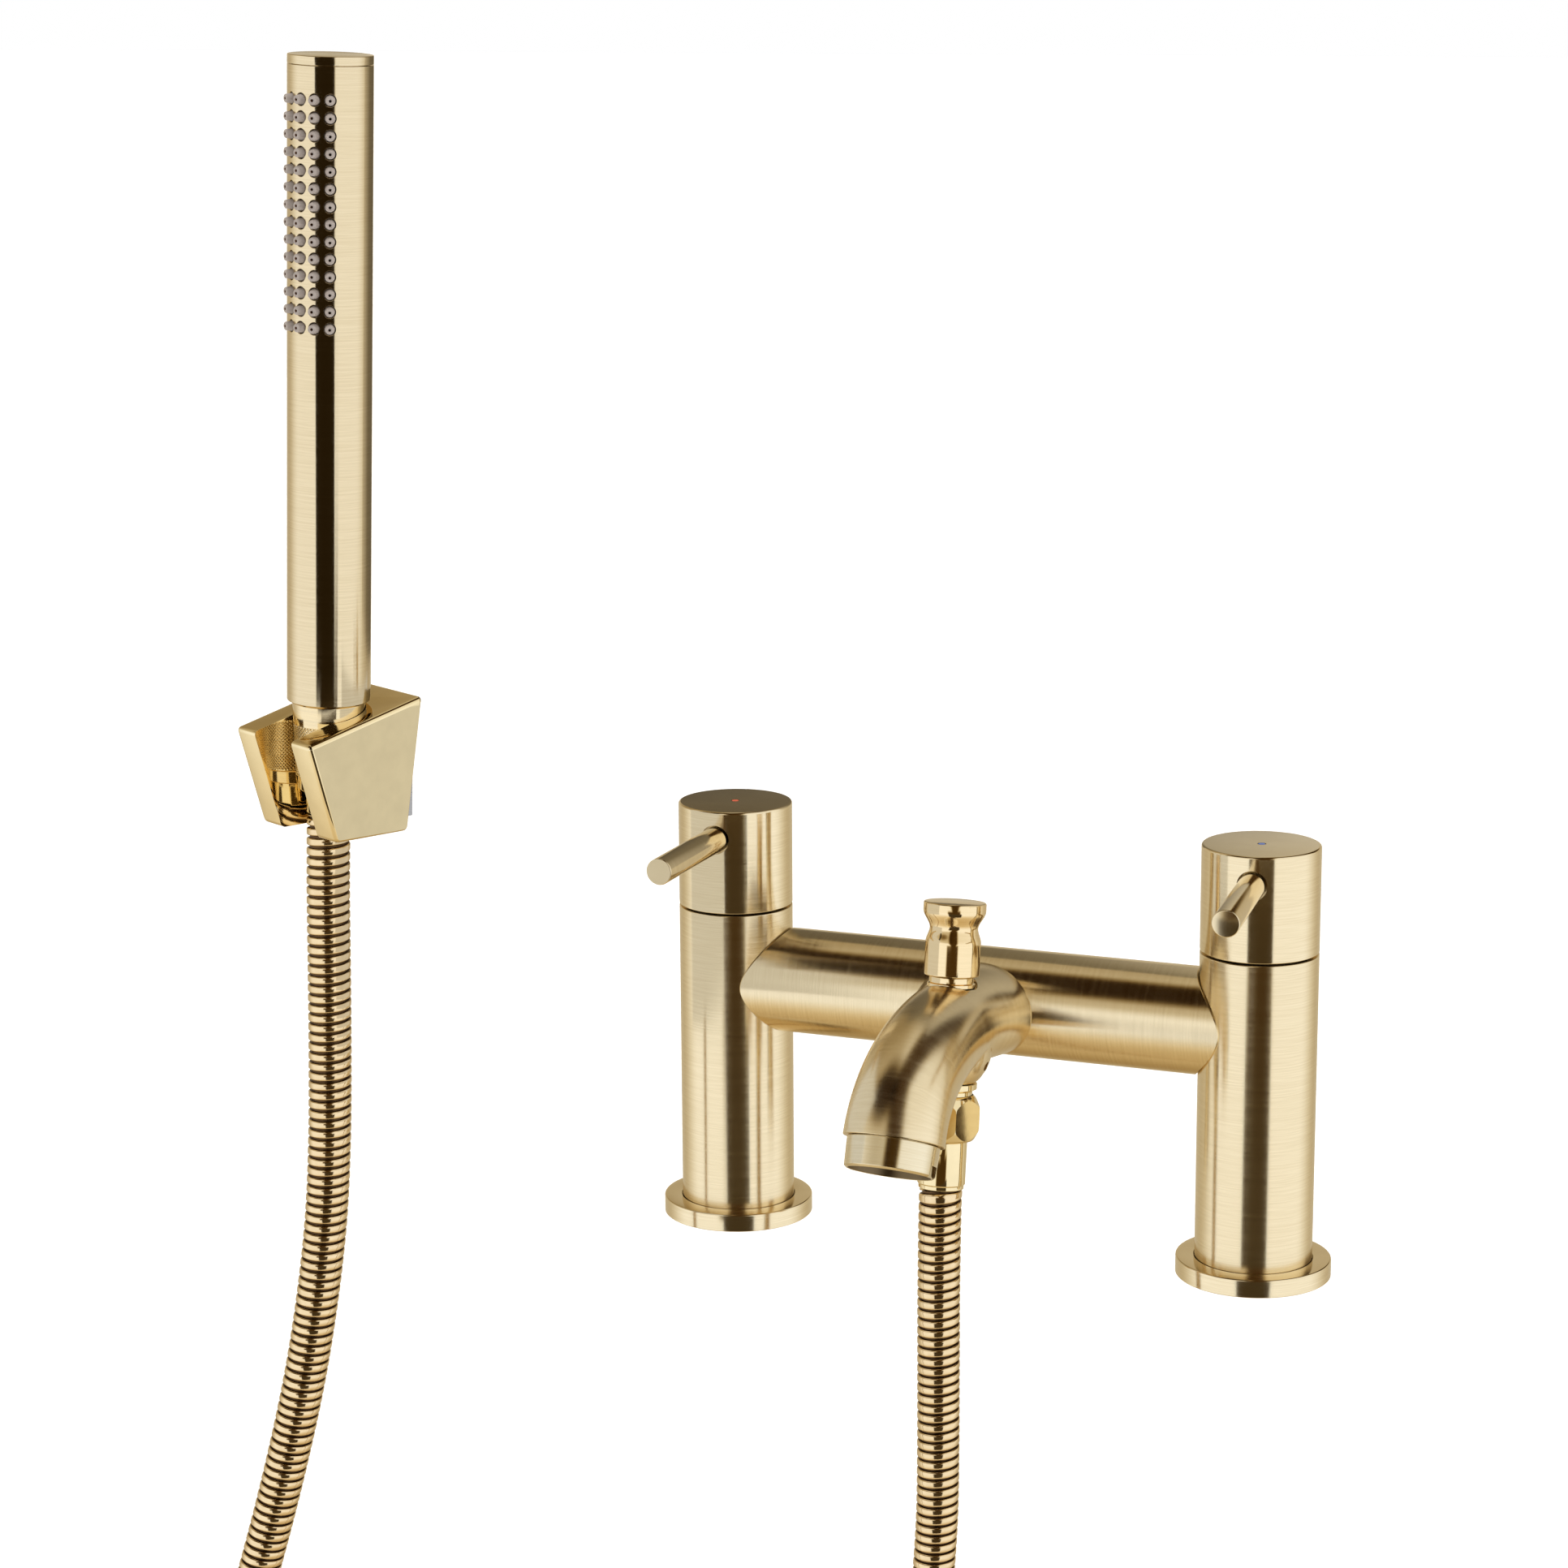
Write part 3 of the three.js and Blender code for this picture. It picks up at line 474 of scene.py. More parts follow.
class Line:
    """A smooth line by arc length, with a frame that doesn't twist."""

    def __init__(self, points):
        self.points = points
        steps = np.linalg.norm(np.diff(points, axis=0), axis=1)
        self.reach = np.concatenate([[0], np.cumsum(steps)])
        self.length = self.reach[-1]
        tangents = np.gradient(points, self.reach, axis=0)
        self.tangents = tangents / np.linalg.norm(tangents, axis=1)[:, None]
        side = np.cross(self.tangents[0], [0, 1, 0])
        self.sides = []
        for tangent in self.tangents:
            side = side - tangent * (side @ tangent)
            side = side / np.linalg.norm(side)
            self.sides.append(side)
        self.sides = np.array(self.sides)

    def at(self, s):
        pick = lambda rows: np.stack([np.interp(s, self.reach, rows[:, k]) for k in range(3)], -1)
        tangent, side = pick(self.tangents), pick(self.sides)
        tangent /= np.linalg.norm(tangent, axis=-1, keepdims=True)
        side -= tangent * np.sum(side * tangent, -1, keepdims=True)
        side /= np.linalg.norm(side, axis=-1, keepdims=True)
        return pick(self.points), side, np.cross(tangent, side)


# The strip's section over one pitch: share of the pitch, and depth below the outer radius.
STRIP = [(0.0, 1.0), (0.06, 0.34), (0.12, 0.1), (0.2, 0.0), (0.66, 0.0), (0.74, 0.1), (0.79, 0.34),
         (0.8, 1.0), (0.9, 1.02)]


def shade_grooves(mesh, line):
    """The faces down in the groove take the dark material: painted shade between the windings."""
    centres = np.empty(3 * len(mesh.polygons))
    mesh.polygons.foreach_get("center", centres)
    centres = centres.reshape(-1, 3) / MM
    samples = line.at(np.arange(0, line.length, 1.0))[0]
    index = np.zeros(len(centres), dtype=np.int32)
    for start in range(0, len(centres), 4000):
        part = centres[start:start + 4000]
        gaps = np.linalg.norm(part[:, None] - samples[None], axis=2).min(1)
        index[start:start + 4000] = gaps < HOSE_R - 0.55
    mesh.polygons.foreach_set("material_index", index)


def build_hose():
    line = Line(centripetal(hose_points()))
    per_turn = len(STRIP)
    turns = int(np.ceil(line.length / HOSE_PITCH)) + 1
    angles = 2 * pi * np.arange(HOSE_SIDES) / HOSE_SIDES
    rows = []
    for k in range(-1, turns):
        for share, depth in STRIP:
            s = (k + share + angles / (2 * pi)) * HOSE_PITCH
            inside = (s > 0) & (s < line.length)
            s = np.clip(s, 0, line.length)
            centre, side, other = line.at(s)
            radius = HOSE_R - np.where(inside, depth, 1.0)
            around = np.cos(angles)[:, None] * side + np.sin(angles)[:, None] * other
            rows.append(centre + radius[:, None] * around)
    points = np.concatenate(rows)
    faces = []
    for k in range(len(rows) - 1):
        for i in range(HOSE_SIDES - 1):
            a = k * HOSE_SIDES + i
            faces.append((a, a + 1, a + 1 + HOSE_SIDES, a + HOSE_SIDES))
        if k + 1 + per_turn < len(rows):
            a = k * HOSE_SIDES + HOSE_SIDES - 1
            b = (k + per_turn) * HOSE_SIDES
            faces.append((a, b, b + HOSE_SIDES, a + HOSE_SIDES))
    mesh = bpy.data.meshes.new("shower_hose_wound")
    mesh.from_pydata([tuple(p * MM) for p in points], [], faces)
    work = bmesh.new()
    work.from_mesh(mesh)
    bmesh.ops.remove_doubles(work, verts=work.verts, dist=1e-6)
    bmesh.ops.dissolve_degenerate(work, dist=1e-7, edges=work.edges)
    loose = [v for v in work.verts if not v.link_faces]
    bmesh.ops.delete(work, geom=loose, context="VERTS")
    bmesh.ops.holes_fill(work, edges=[e for e in work.edges if e.is_boundary], sides=0)
    bmesh.ops.recalc_face_normals(work, faces=work.faces)
    work.to_mesh(mesh)
    work.free()
    smooth(mesh, 50)
    piece = bpy.data.objects.new("shower_hose_wound", mesh)
    scene.collection.objects.link(piece)
    mesh.materials.append(hose_brass)
    mesh.materials.append(hose_groove_shade)
    shade_grooves(mesh, line)
    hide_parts("shower_hose")
    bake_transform(piece)
    path = [tuple(line.at(np.array([s]))[0][0] * MM) for s in np.arange(0, line.length, 6)]
    path.append(tuple(line.points[-1] * MM))
    print("hose length", line.length)


build_hose()

# ------------------------------------------------------------------ pillars, flanges, handles

PILLAR_R = 18.9
BRIDGE_R = 17.4
BRIDGE_Z = 82.5
LEVER_Z = 132.8


def build_pillar(side, matrix):
    name = f"{side}_pillar"
    profile = rounded([
        (10.45, 0), (18.6, 0), (PILLAR_R, 0.3), (PILLAR_R, 107.1, 0.35), (10.3, 107.1), (10.3, 96), (12, 96),
        (12, 72), (5.5, 72), (5.5, 16), (10.45, 16), (10.45, 0),
    ])
    mesh = lathe(name + "_fine", profile[:-1], closed=True)
    new_piece(name + "_fine", mesh, matrix, "mixer", satin_z, [name, f"{side}_inlet_end"])
    flange = rounded([
        (19.2, 0.3), (19.5, 0), (20.4, 0), (20.4, 1.3), (24, 1.3), (24, 0), (24.8, 0), (25, 0.2),
        (25, 5.9, 0.5), (19.2, 5.9, 0.15), (19.2, 0.3),
    ])
    mesh = lathe(f"{side}_base_flange_fine", flange[:-1], closed=True)
    new_piece(f"{side}_base_flange_fine", mesh, matrix, "mixer", flange_satin,
              [f"{side}_base_flange"])


def build_handle(side, matrix, length, dot_material):
    body = f"{side}_tap_handle"
    profile = rounded([
        (0, 125.2), (4.3, 125.2), (4.3, 114.5), (11.5, 114.5), (11.5, 107.8), (PILLAR_R, 107.8, 0.35),
        (PILLAR_R, 142.2, 0.8), (1.4, 142.2), (1.4, 141.4), (0, 141.4),
    ])
    cap = lathe(f"{side}_handle_fine", profile, 192)
    rod_frame = along_y(place(0, 0, LEVER_Z))
    tools = [
        (cylinder_mesh(4.85, -24, -14.2), rod_frame),
        (cylinder_mesh(3.3, -15, -3), rod_frame),
        (cylinder_mesh(2.7, 4, 24, 48), along_y(place(0, 0, 119))),
    ]
    mesh = combined(cap, tools)
    smooth(mesh, 30)
    true_round(mesh, [((0, 0, 1), (0, 0, 0), PILLAR_R), ((0, 1, 0), (0, 0, LEVER_Z), 4.85)])
    new_piece(f"{side}_handle_fine", mesh, matrix, body, cap_satin, [f"{side}_handle"])
    rod = rounded([(0, 4), (3, 4), (3, 14.5), (4.3, 14.5), (4.3, length, 0.35), (0, length)])
    new_piece(f"{side}_lever_fine", lathe(f"{side}_lever_fine", rod, 64),
              matrix @ place(0, 0, LEVER_Z) @ turn(90, "X"),
              body, lever_satin, [f"{side}_lever"])
    dot = rounded([(0, 141.6), (1.15, 141.6), (1.15, 142.25, 0.2), (0, 142.28)])
    new_piece(f"{side}_index_dot_fine", lathe(f"{side}_index_dot_fine", dot, 32), matrix, body,
              dot_material, [f"{side}_index_dot"])


flange_satin = brushed("satin_brass_flange", SATIN, SATIN_DARK, 0.14, (SLOW, SLOW, FAST), 0.02)
cap_satin = brushed("satin_brass_cap", SATIN, SATIN_DARK, 0.15, (SLOW, SLOW, FAST), 0.03, axis="Z")
lever_satin = brushed("satin_brass_lever", SATIN, SATIN_DARK, 0.13, (SLOW, SLOW, FAST), 0.03)

build_pillar("hot", HOT)
build_pillar("cold", COLD)
build_handle("hot", HOT_HANDLE, 66.3, red_index)
build_handle("cold", COLD_HANDLE, 67.5, blue_index)

# ------------------------------------------------------------------ bridge

SADDLE_GAP = 0.32


def build_bridge():
    """A tube whose ends follow the pillars, with a small rounded edge at each seam."""
    count = 160
    angles = 2 * pi * np.arange(count) / count
    y = BRIDGE_R * np.sin(angles)
    reach = 90 - np.sqrt((PILLAR_R + SADDLE_GAP) ** 2 - y**2)

    def row(x, radius):
        return [(x[i], radius * sin(angles[i]), BRIDGE_Z + radius * cos(angles[i])) for i in range(count)]

    edge = 0.35
    rows = [row(-reach + 1.5, 9), row(-reach, BRIDGE_R - 1.2), row(-reach, BRIDGE_R - edge)]
    for share in np.linspace(-1, 1, 33):
        rows.append(row((reach - edge) * share, BRIDGE_R))
    rows += [row(reach, BRIDGE_R - edge), row(reach, BRIDGE_R - 1.2), row(reach - 1.5, 9)]
    mesh = grid("bridge_fine", rows, 22)
    new_piece("bridge_fine", mesh, MIXER, "mixer", satin_x, ["bridge"])


build_bridge()

# ------------------------------------------------------------------ spout

FLARE_START, FLARE_END = -44, -12
FLARE_HALF_WIDTH, FLARE_HALF_HEIGHT, FLARE_RISE = 20.3, 15.4, 0.5
SPOUT_GAP = 0.25
BOSS_FOOT = -17.3


def smoothstep(x, low, high):
    t = min(1, max(0, (x - low) / (high - low)))
    return t * t * (3 - 2 * t)


def spout_point(t, angle):
    """A point on the spout's skin; t is below 0 inside the bridge."""
    centre = Bezier.at(max(t, 0))
    tangent = Bezier.tangent(max(t, 0))
    if t < 0:
        centre = centre + tangent * t * 60
    up = np.array([tangent[1], -tangent[0]])
    flare = smoothstep(centre[0], FLARE_START, FLARE_END)
    radius = 14.6 + 1.3 * max(t, 0)
    half_width = radius + (FLARE_HALF_WIDTH - radius) * flare
    half_height = radius + (FLARE_HALF_HEIGHT - radius) * flare
    yz = centre + up * (FLARE_RISE * flare + half_height * sin(angle))
    return np.array([half_width * cos(angle), yz[0], yz[1]])


def root_share(angle, clearance):
    """Where the skin at this angle comes within a clearance of the bridge."""
    def away(t):
        p = spout_point(t, angle)
        return hypot(p[1], p[2] - BRIDGE_Z) - BRIDGE_R - clearance

    low, high = -0.25, 0.35
    for _ in range(40):
        middle = (low + high) / 2
        if away(middle) > 0:
            high = middle
        else:
            low = middle
    return high


def build_spout():
    count, along = 144, 110
    angles = [2 * pi * i / count - pi / 2 for i in range(count)]
    edge = 0.3
    rows = []
    inner, rim = [], []
    for angle in angles:
        seam = spout_point(root_share(angle, SPOUT_GAP), angle)
        middle = np.array([0, -14.0, 84.3])
        inward = middle - seam
        inward /= np.linalg.norm(inward)
        rim.append(seam + inward * edge)
        inner.append(seam + inward * 5 + np.array([0, -0.6, 0]))
    rows.append(inner)
    rows.append(rim)
    starts = [root_share(angle, SPOUT_GAP + edge) for angle in angles]
    for k in range(along + 1):
        share = (k / along) ** 1.25
        rows.append([spout_point(start + (1 - start) * share, angle) for start, angle in zip(starts, angles)])
    end_centre = Bezier.at(1)
    end_tangent = np.array([-sin(radians(AERATOR_LEAN)), -cos(radians(AERATOR_LEAN))])
    end_up = np.array([end_tangent[1], -end_tangent[0]])

    def end_ring(radius, beyond):
        out = []
        for angle in angles:
            yz = end_centre + end_tangent * beyond + end_up * radius * sin(angle)
            out.append((radius * cos(angle), yz[0], yz[1]))
        return out

    rows[-1] = end_ring(15.9, -0.25)
    rows.append(end_ring(15.82, -0.07))
    rows.append(end_ring(15.65, 0))
    mesh = grid("spout_fine", rows, 35)
    boss = lathe("boss", rounded([
        (0, BOSS_FOOT), (9.4, BOSS_FOOT, 0.3), (10.9, -15.7), (12.6, -13), (13.7, -9.9), (14, -6.9), (14, 1),
        (0, 1),
    ]), 96)
    mesh = combined(mesh, [(boss, DIVERTER)], "UNION")
    tools = [
        (cylinder_mesh(8.4, 12.6, 20), DIVERTER),
        (cylinder_mesh(5.8, -20, 14), DIVERTER),
        (cylinder_mesh(7.8, -8.8, 2.8), DIVERTER),
        (cylinder_mesh(12.9, -1, 8.6), AERATOR),
        (cylinder_mesh(1.5, 11, 16, 32), DIVERTER @ place(0, 0, -11.5) @ turn(90, "Y")),
    ]
    mesh = combined(mesh, tools)
    add_spout_uv(mesh)
    smooth(mesh, 24)
    new_piece("spout_fine", mesh, MIXER, "mixer", satin_spout, ["spout"])


def add_spout_uv(mesh):
    """u runs along the spout in centimetres and v round it, for the brush lines."""
    shares = np.linspace(0, 1, 200)
    line = np.array([Bezier.at(t) for t in shares])
    reach = np.concatenate([[0], np.cumsum(np.linalg.norm(np.diff(line, axis=0), axis=1))])
    layer = mesh.uv_layers.new(name="along")
    values = []
    for vertex in mesh.vertices:
        p = np.array(vertex.co) / MM
        nearest = int(np.argmin((line[:, 0] - p[1]) ** 2 + (line[:, 1] - p[2]) ** 2))
        values.append((reach[nearest] / 10, p[0] / 10))
    for loop in mesh.loops:
        layer.data[loop.index].uv = values[loop.vertex_index]


build_spout()

# ------------------------------------------------------------------ aerator


# the dark bore below is painted shade inside the aerator housing
AERATOR_BORE_R = 13.05     # faces inside this radius and below this height are the dark bore
AERATOR_BORE_TOP = -4.5


def build_aerator():
    profile = rounded([
        (9.6, -4.6), (12.2, -6.2), (12.9, -9.5, 0.2), (13.1, -9.9, 0.2), (13.5, -9.9, 0.2), (14.2, -9.2, 0.3),
        (14.5, -0.3, 0.2), (12.6, -0.3), (12.6, 6.5), (10.6, 6.5), (10.6, -3.4), (9.6, -3.4), (9.6, -4.6),
    ])
    body = lathe("aerator_housing_fine", profile[:-1], 160, closed=True)
    notch = cube_mesh((-1.6, 1.6), (-2.7, 2.7), (-1.9, 1.9))
    tools = [(notch, place(side * 14.9, 0, -8.2)) for side in (-1, 1)]
    mesh = combined(body, tools)
    smooth(mesh, 30)
    true_round(mesh, [((0, 0, 1), (0, 0, 0), 14.45)], 0.3)
    mesh.materials.clear()
    for face in mesh.polygons:
        in_bore = hypot(face.center.x, face.center.y) < AERATOR_BORE_R * MM
        face.material_index = int(in_bore and face.center.z < AERATOR_BORE_TOP * MM)
    new_piece("aerator_housing_fine", mesh, AERATOR, "mixer", [aerator_satin, aerator_bore_shade],
              ["aerator_housing"])


def cube_mesh(xs, ys, zs):
    points = [(x, y, z) for x in xs for y in ys for z in zs]
    faces = [(0, 1, 3, 2), (4, 6, 7, 5), (0, 4, 5, 1), (2, 3, 7, 6), (0, 2, 6, 4), (1, 5, 7, 3)]
    return mesh_from("tool", points, faces)


build_aerator()

# ------------------------------------------------------------------ diverter knob and collar


def build_knob():
    waist = []
    for z in np.linspace(27, 37.2, 26):
        reach = (31.6 - z) / 4.6 if z < 31.6 else (z - 31.6) / 5.6
        swell = 1.15 if z < 31.6 else 2.3
        waist.append((7.7 + swell * smoothstep(reach, 0, 1), z))
    profile = rounded([(0, 31.6), (2.3, 31.6), (2.3, 16.5), (8.85, 16.5, 0.5), (8.85, 26.6)]) + waist
    profile += [(10, 37.6)] + rounded([(10, 37.6), (10, 39.9, 0.55), (0, 39.9)])[1:]
    new_piece("diverter_knob_fine", lathe("diverter_knob_fine", profile, 128, 35), DIVERTER, "diverter",
              knob_brass, ["diverter_knob"])
    collar = rounded([
        (2.3, 10.3), (5.5, 10.3), (5.5, 12.9), (7.7, 12.9, 0.15), (7.7, 14, 0.15), (7.15, 14.35),
        (7.15, 16.2, 0.2),
        (2.3, 16.2), (2.3, 15), (3.7, 15), (3.7, 13.5), (2.3, 13.5), (2.3, 10.3),
    ])
    mesh = lathe("diverter_collar_fine", collar[:-1], 96, closed=True)
    new_piece("diverter_collar_fine", mesh, DIVERTER, "mixer", knob_brass,
              ["diverter_collar"])


build_knob()

# ------------------------------------------------------------------ shower outlet, nut and ferrule


def build_outlet():
    nipple = rounded([
        (4, -30), (8.5, -30), (8.5, -20.2), (8.1, -19.9), (8.1, -19.6), (9.85, -19.5, 0.2),
        (9.85, -17.6, 0.2), (5.4, -17.6),
        (5.4, -11.5), (4, -11.5), (4, -30),
    ])
    mesh = lathe("outlet_nipple_fine", nipple[:-1], 96, closed=True)
    new_piece("outlet_nipple_fine", mesh, DIVERTER, "mixer", gold, ["outlet_nipple"])
    hexagon = [(11.35 * cos(radians(60 * k + 8)), 11.35 * sin(radians(60 * k + 8))) for k in range(6)]
    body = grid("hose_nut_fine", [[(x, y, z) for x, y in hexagon] for z in (-36, -21.4)])
    dome = lathe("tool", rounded([
        (0, -21.4), (8.8, -21.4, 0.3), (9.6, -22.2, 0.6), (11.3, -25.2, 2.5), (11.45, -29),
        (11.3, -32.6, 2.5),
        (9.9, -35.4, 0.6), (9.3, -36), (0, -36),
    ]), 128)
    mesh = combined(body, [(dome, MIXER)], "INTERSECT")
    bore = lathe("tool", [(0, -20), (8.8, -20), (8.8, -34), (6.3, -34), (6.3, -37), (0, -37)], 64)
    mesh = combined(mesh, [(bore, MIXER)])
    smooth(mesh, 25)
    new_piece("hose_nut_fine", mesh, DIVERTER, "mixer", gold, ["hose_nut"])
    ferrule = rounded([
        (4.2, -51.9), (7.2, -51.9, 0.3), (7.3, -50.6, 0.2), (7.65, -50.2, 0.2), (7.65, -36.3, 0.3),
        (6.3, -36.3),
        (6.3, -40.3), (4.2, -40.3), (4.2, -51.9),
    ])
    mesh = lathe("hose_lower_ferrule_fine", ferrule[:-1], 96, closed=True)
    new_piece("hose_lower_ferrule_fine", mesh, DIVERTER, "mixer", gold,
              ["hose_lower_ferrule"])


build_outlet()

# ------------------------------------------------------------------ handset

HANDSET_R = 13.05
NOZZLE_LOW, NOZZLE_PITCH, NOZZLE_ROWS = 118, 5.26, 14
NOZZLE_COLUMNS, NOZZLE_SPREAD, NOZZLE_FACE = 4, 21.3, 17


def nozzle_places():
    for row in range(NOZZLE_ROWS):
        for column in range(NOZZLE_COLUMNS):
            spread = (column - (NOZZLE_COLUMNS - 1) / 2) * NOZZLE_SPREAD
            height = NOZZLE_LOW + NOZZLE_PITCH * row
            yield turn(NOZZLE_FACE + spread, "Z") @ place(0, 0, height) @ turn(90, "X")


def joined(meshes_and_matrices, name):
    work = bmesh.new()
    for mesh, matrix in meshes_and_matrices:
        copy = mesh.copy()
        copy.transform(matrix)
        work.from_mesh(copy)
        bpy.data.meshes.remove(copy)
    out = bpy.data.meshes.new(name)
    work.to_mesh(out)
    work.free()
    return out


def build_handset():
    profile = rounded([
        (9.6, 0.3), (HANDSET_R, 0.3, 0.3), (HANDSET_R, 196.4, 0.12), (11.6, 196.4), (11.6, 2.5), (9.6, 2.5),
        (9.6, 0.3),
    ])
    tube = lathe("handset_body_fine", profile[:-1], 192, closed=True)
    cutter = lathe("tool", [(0, 10), (1.85, 10), (1.85, 12.7), (1.95, 12.95), (2.2, 13.15), (2.6, 13.6),
                            (0, 13.6)], 28)
    holes = joined([(cutter, matrix) for matrix in nozzle_places()], "holes")
    mesh = combined(tube, [(holes, MIXER)])
    smooth(mesh, 30)
    true_round(mesh, [((0, 0, 1), (0, 0, 0), HANDSET_R)])
    new_piece("handset_body_fine", mesh, HANDSET, "handset", handset_shaded_satin, ["handset_body"])
    cap = rounded([
        (0, 192.2), (11.3, 192.2), (11.3, 196.6), (HANDSET_R, 196.6, 0.1), (HANDSET_R, 199.3, 0.25),
        (0, 199.3),
    ])
    new_piece("handset_end_cap_fine", lathe("handset_end_cap_fine", cap, 192), HANDSET, "handset",
              handset_shaded_satin, ["handset_end_cap"])
    pip = lathe("pip", rounded([
        (0.34, 13.4), (0.42, 15.05, 0.08), (1.28, 15.05, 0.42), (1.6, 12.4), (1.62, 10.9), (0, 10.9),
        (0, 13.4), (0.34, 13.4),
    ], 4)[:-1], 24)
    strip = joined([(pip, matrix) for matrix in nozzle_places()], "handset_nozzle_strip_fine")
    add_strip_plate(strip)
    smooth(strip, 40)
    piece = new_piece("handset_nozzle_strip_fine", strip, HANDSET, "handset",
                      [grey_rubber, nozzle_bore_painted_shade], ["handset_nozzle_strip"])
    paint_bore_shade(piece.data)


def add_strip_plate(mesh):
    """The curved plate behind the holes that carries the nozzles."""
    low = NOZZLE_LOW - 5
    high = NOZZLE_LOW + NOZZLE_PITCH * (NOZZLE_ROWS - 1) + 5
    rows = []
    for z in (low, high):
        arc = [radians(-90 + NOZZLE_FACE - 48 + 96 * k / 24) for k in range(25)]
        outer = [(11.25 * cos(a), 11.25 * sin(a), z) for a in arc]
        inner = [(9.9 * cos(a), 9.9 * sin(a), z) for a in reversed(arc)]
        rows.append(outer + inner)
    plate = grid("plate", rows)
    work = bmesh.new()
    work.from_mesh(mesh)
    work.from_mesh(plate)
    work.to_mesh(mesh)
    work.free()


def paint_bore_shade(mesh):
    """The faces inside each nozzle's bore take the second material, a dark brown painted as shade in the
    holes.
    """
    for polygon in mesh.polygons:
        spot = np.array(polygon.center) / MM
        radius = hypot(spot[0], spot[1])
        if radius < 13.2:
            continue
        row = (spot[2] - NOZZLE_LOW) / NOZZLE_PITCH
        angle = degrees(np.arctan2(spot[0], -spot[1]))
        column = (angle - NOZZLE_FACE) / NOZZLE_SPREAD + (NOZZLE_COLUMNS - 1) / 2
        off = hypot((row - round(row)) * NOZZLE_PITCH,
                    radians((column - round(column)) * NOZZLE_SPREAD) * radius)
        if off < 0.43:
            polygon.material_index = 1


build_handset()

# ------------------------------------------------------------------ cone nut with its knurl

KNURL_TOP, KNURL_FOOT = -7, -23.7
KNURL_TEETH = 56


def build_cone_nut():
    """Plain above and below; between them crossed grooves leave rows of small pyramids."""
    count = KNURL_TEETH * 8
    angles = 2 * pi * np.arange(count) / count
    profile_top = rounded([(9.5, -0.1), (11.0, 0, 0.2), (11.4, -0.5, 0.2), (11.15, KNURL_TOP + 0.1)], 3)
    rows = [[(r * cos(a), r * sin(a), z) for a in angles] for r, z in profile_top]
    steps = 110
    pitch = 2 * pi * 10.8 / KNURL_TEETH
    for k in range(steps + 1):
        z = KNURL_TOP + (KNURL_FOOT - KNURL_TOP) * k / steps
        base = 11.15 + (10.3 - 11.15) * k / steps
        fade = min(1, k / 5, (steps - k) / 5)
        u = KNURL_TEETH * angles / (2 * pi)
        w = (z - KNURL_TOP) / pitch
        groove = np.minimum(np.abs(((u + w) % 1) - 0.5), np.abs(((u - w) % 1) - 0.5)) * 2
        radius = base - 0.38 * fade * (1 - np.minimum(1, groove * 2.2))
        rows.append([(r * cos(a), r * sin(a), z) for r, a in zip(radius, angles)])
    foot = rounded([(10.3, -23.8), (9.7, -24.3, 0.3), (9.6, -28.1, 0.2), (9.2, -28.5), (6.4, -28.5),
                    (6.4, -16.8), (9.5, -16.8)], 3)
    rows += [[(r * cos(a), r * sin(a), z) for a in angles] for r, z in foot]
    rows.append(rows[0])
    points = [p for row in rows[:-1] for p in row]
    faces = []
    total = len(rows) - 1
    for k in range(total):
        n = (k + 1) % total
        for i in range(count):
            j = (i + 1) % count
            faces.append((k * count + i, k * count + j, n * count + j, n * count + i))
    mesh = mesh_from("handset_cone_nut_fine", points, faces, 40)
    new_piece("handset_cone_nut_fine", mesh, HANDSET, "handset", nut_satin,
              ["handset_cone_nut"])
    ferrule = rounded([
        (4.2, -36), (7.05, -36, 0.3), (7.05, -28.8, 0.2), (6.3, -28.8), (6.3, -32), (4.2, -32), (4.2, -36),
    ])
    mesh = lathe("hose_upper_ferrule_fine", ferrule[:-1], 96, closed=True)
    new_piece("hose_upper_ferrule_fine", mesh, HANDSET, "hose_end", gold,
              ["hose_upper_ferrule"])


nut_satin = brushed("satin_brass_nut", (0.93, 0.76, 0.46), SATIN_DARK, 0.12, (SLOW, SLOW, 2000), 0.01)
build_cone_nut()

# ------------------------------------------------------------------ fork bracket

BRACKET_SIDE = [(-23.1, -8.5), (-11.8, -41.2), (18, -42.2), (23.8, 0.9)]
BRACKET_HALF_WIDTH = 17.8
SLOT_HALF_WIDTH = 8.7


def bevelled(mesh, width, segments, angle=25):
    piece = temporary(mesh)
    modifier = piece.modifiers.new("bevel", "BEVEL")
    modifier.width = width * MM
    modifier.segments = segments
    modifier.limit_method = "ANGLE"
    modifier.angle_limit = radians(angle)
    modifier.profile = 0.5
    modifier.harden_normals = False
    bpy.context.view_layer.update()
    result = bpy.data.meshes.new_from_object(piece.evaluated_get(bpy.context.evaluated_depsgraph_get()))
    bpy.data.objects.remove(piece)
    result.name = mesh.name
    return result


def build_bracket():
    rows = [[(x, y, z) for y, z in BRACKET_SIDE] for x in (-BRACKET_HALF_WIDTH, BRACKET_HALF_WIDTH)]
    block = bevelled(grid("bracket_body_fine", rows), 1.6, 5)
    socket = lathe("tool", [
        (0, -60), (SLOT_HALF_WIDTH, -60), (SLOT_HALF_WIDTH, -28.8), (10, -28.8), (10.65, -23.7), (11.75, 0),
        (11.95, 6), (0, 6),
    ], 96)
    slot = cube_mesh((-SLOT_HALF_WIDTH, SLOT_HALF_WIDTH), (-40, 0), (-60, 20))
    pocket = cube_mesh((-6.3, 6.3), (13.7, 40), (-32.3, -17.7))
    grub = cylinder_mesh(1.8, -60, -32, 32)
    mesh = combined(block, [(slot, MIXER), (socket, MIXER), (pocket, MIXER), (grub, place(0, 15.9, 0))])
    mesh = bevelled(mesh, 0.7, 4, 40)
    smooth(mesh, 25)
    new_piece("bracket_body_fine", mesh, HANDSET, "mixer", gold, ["bracket_body"])


build_bracket()

# ------------------------------------------------------------------ CAD pieces that stay

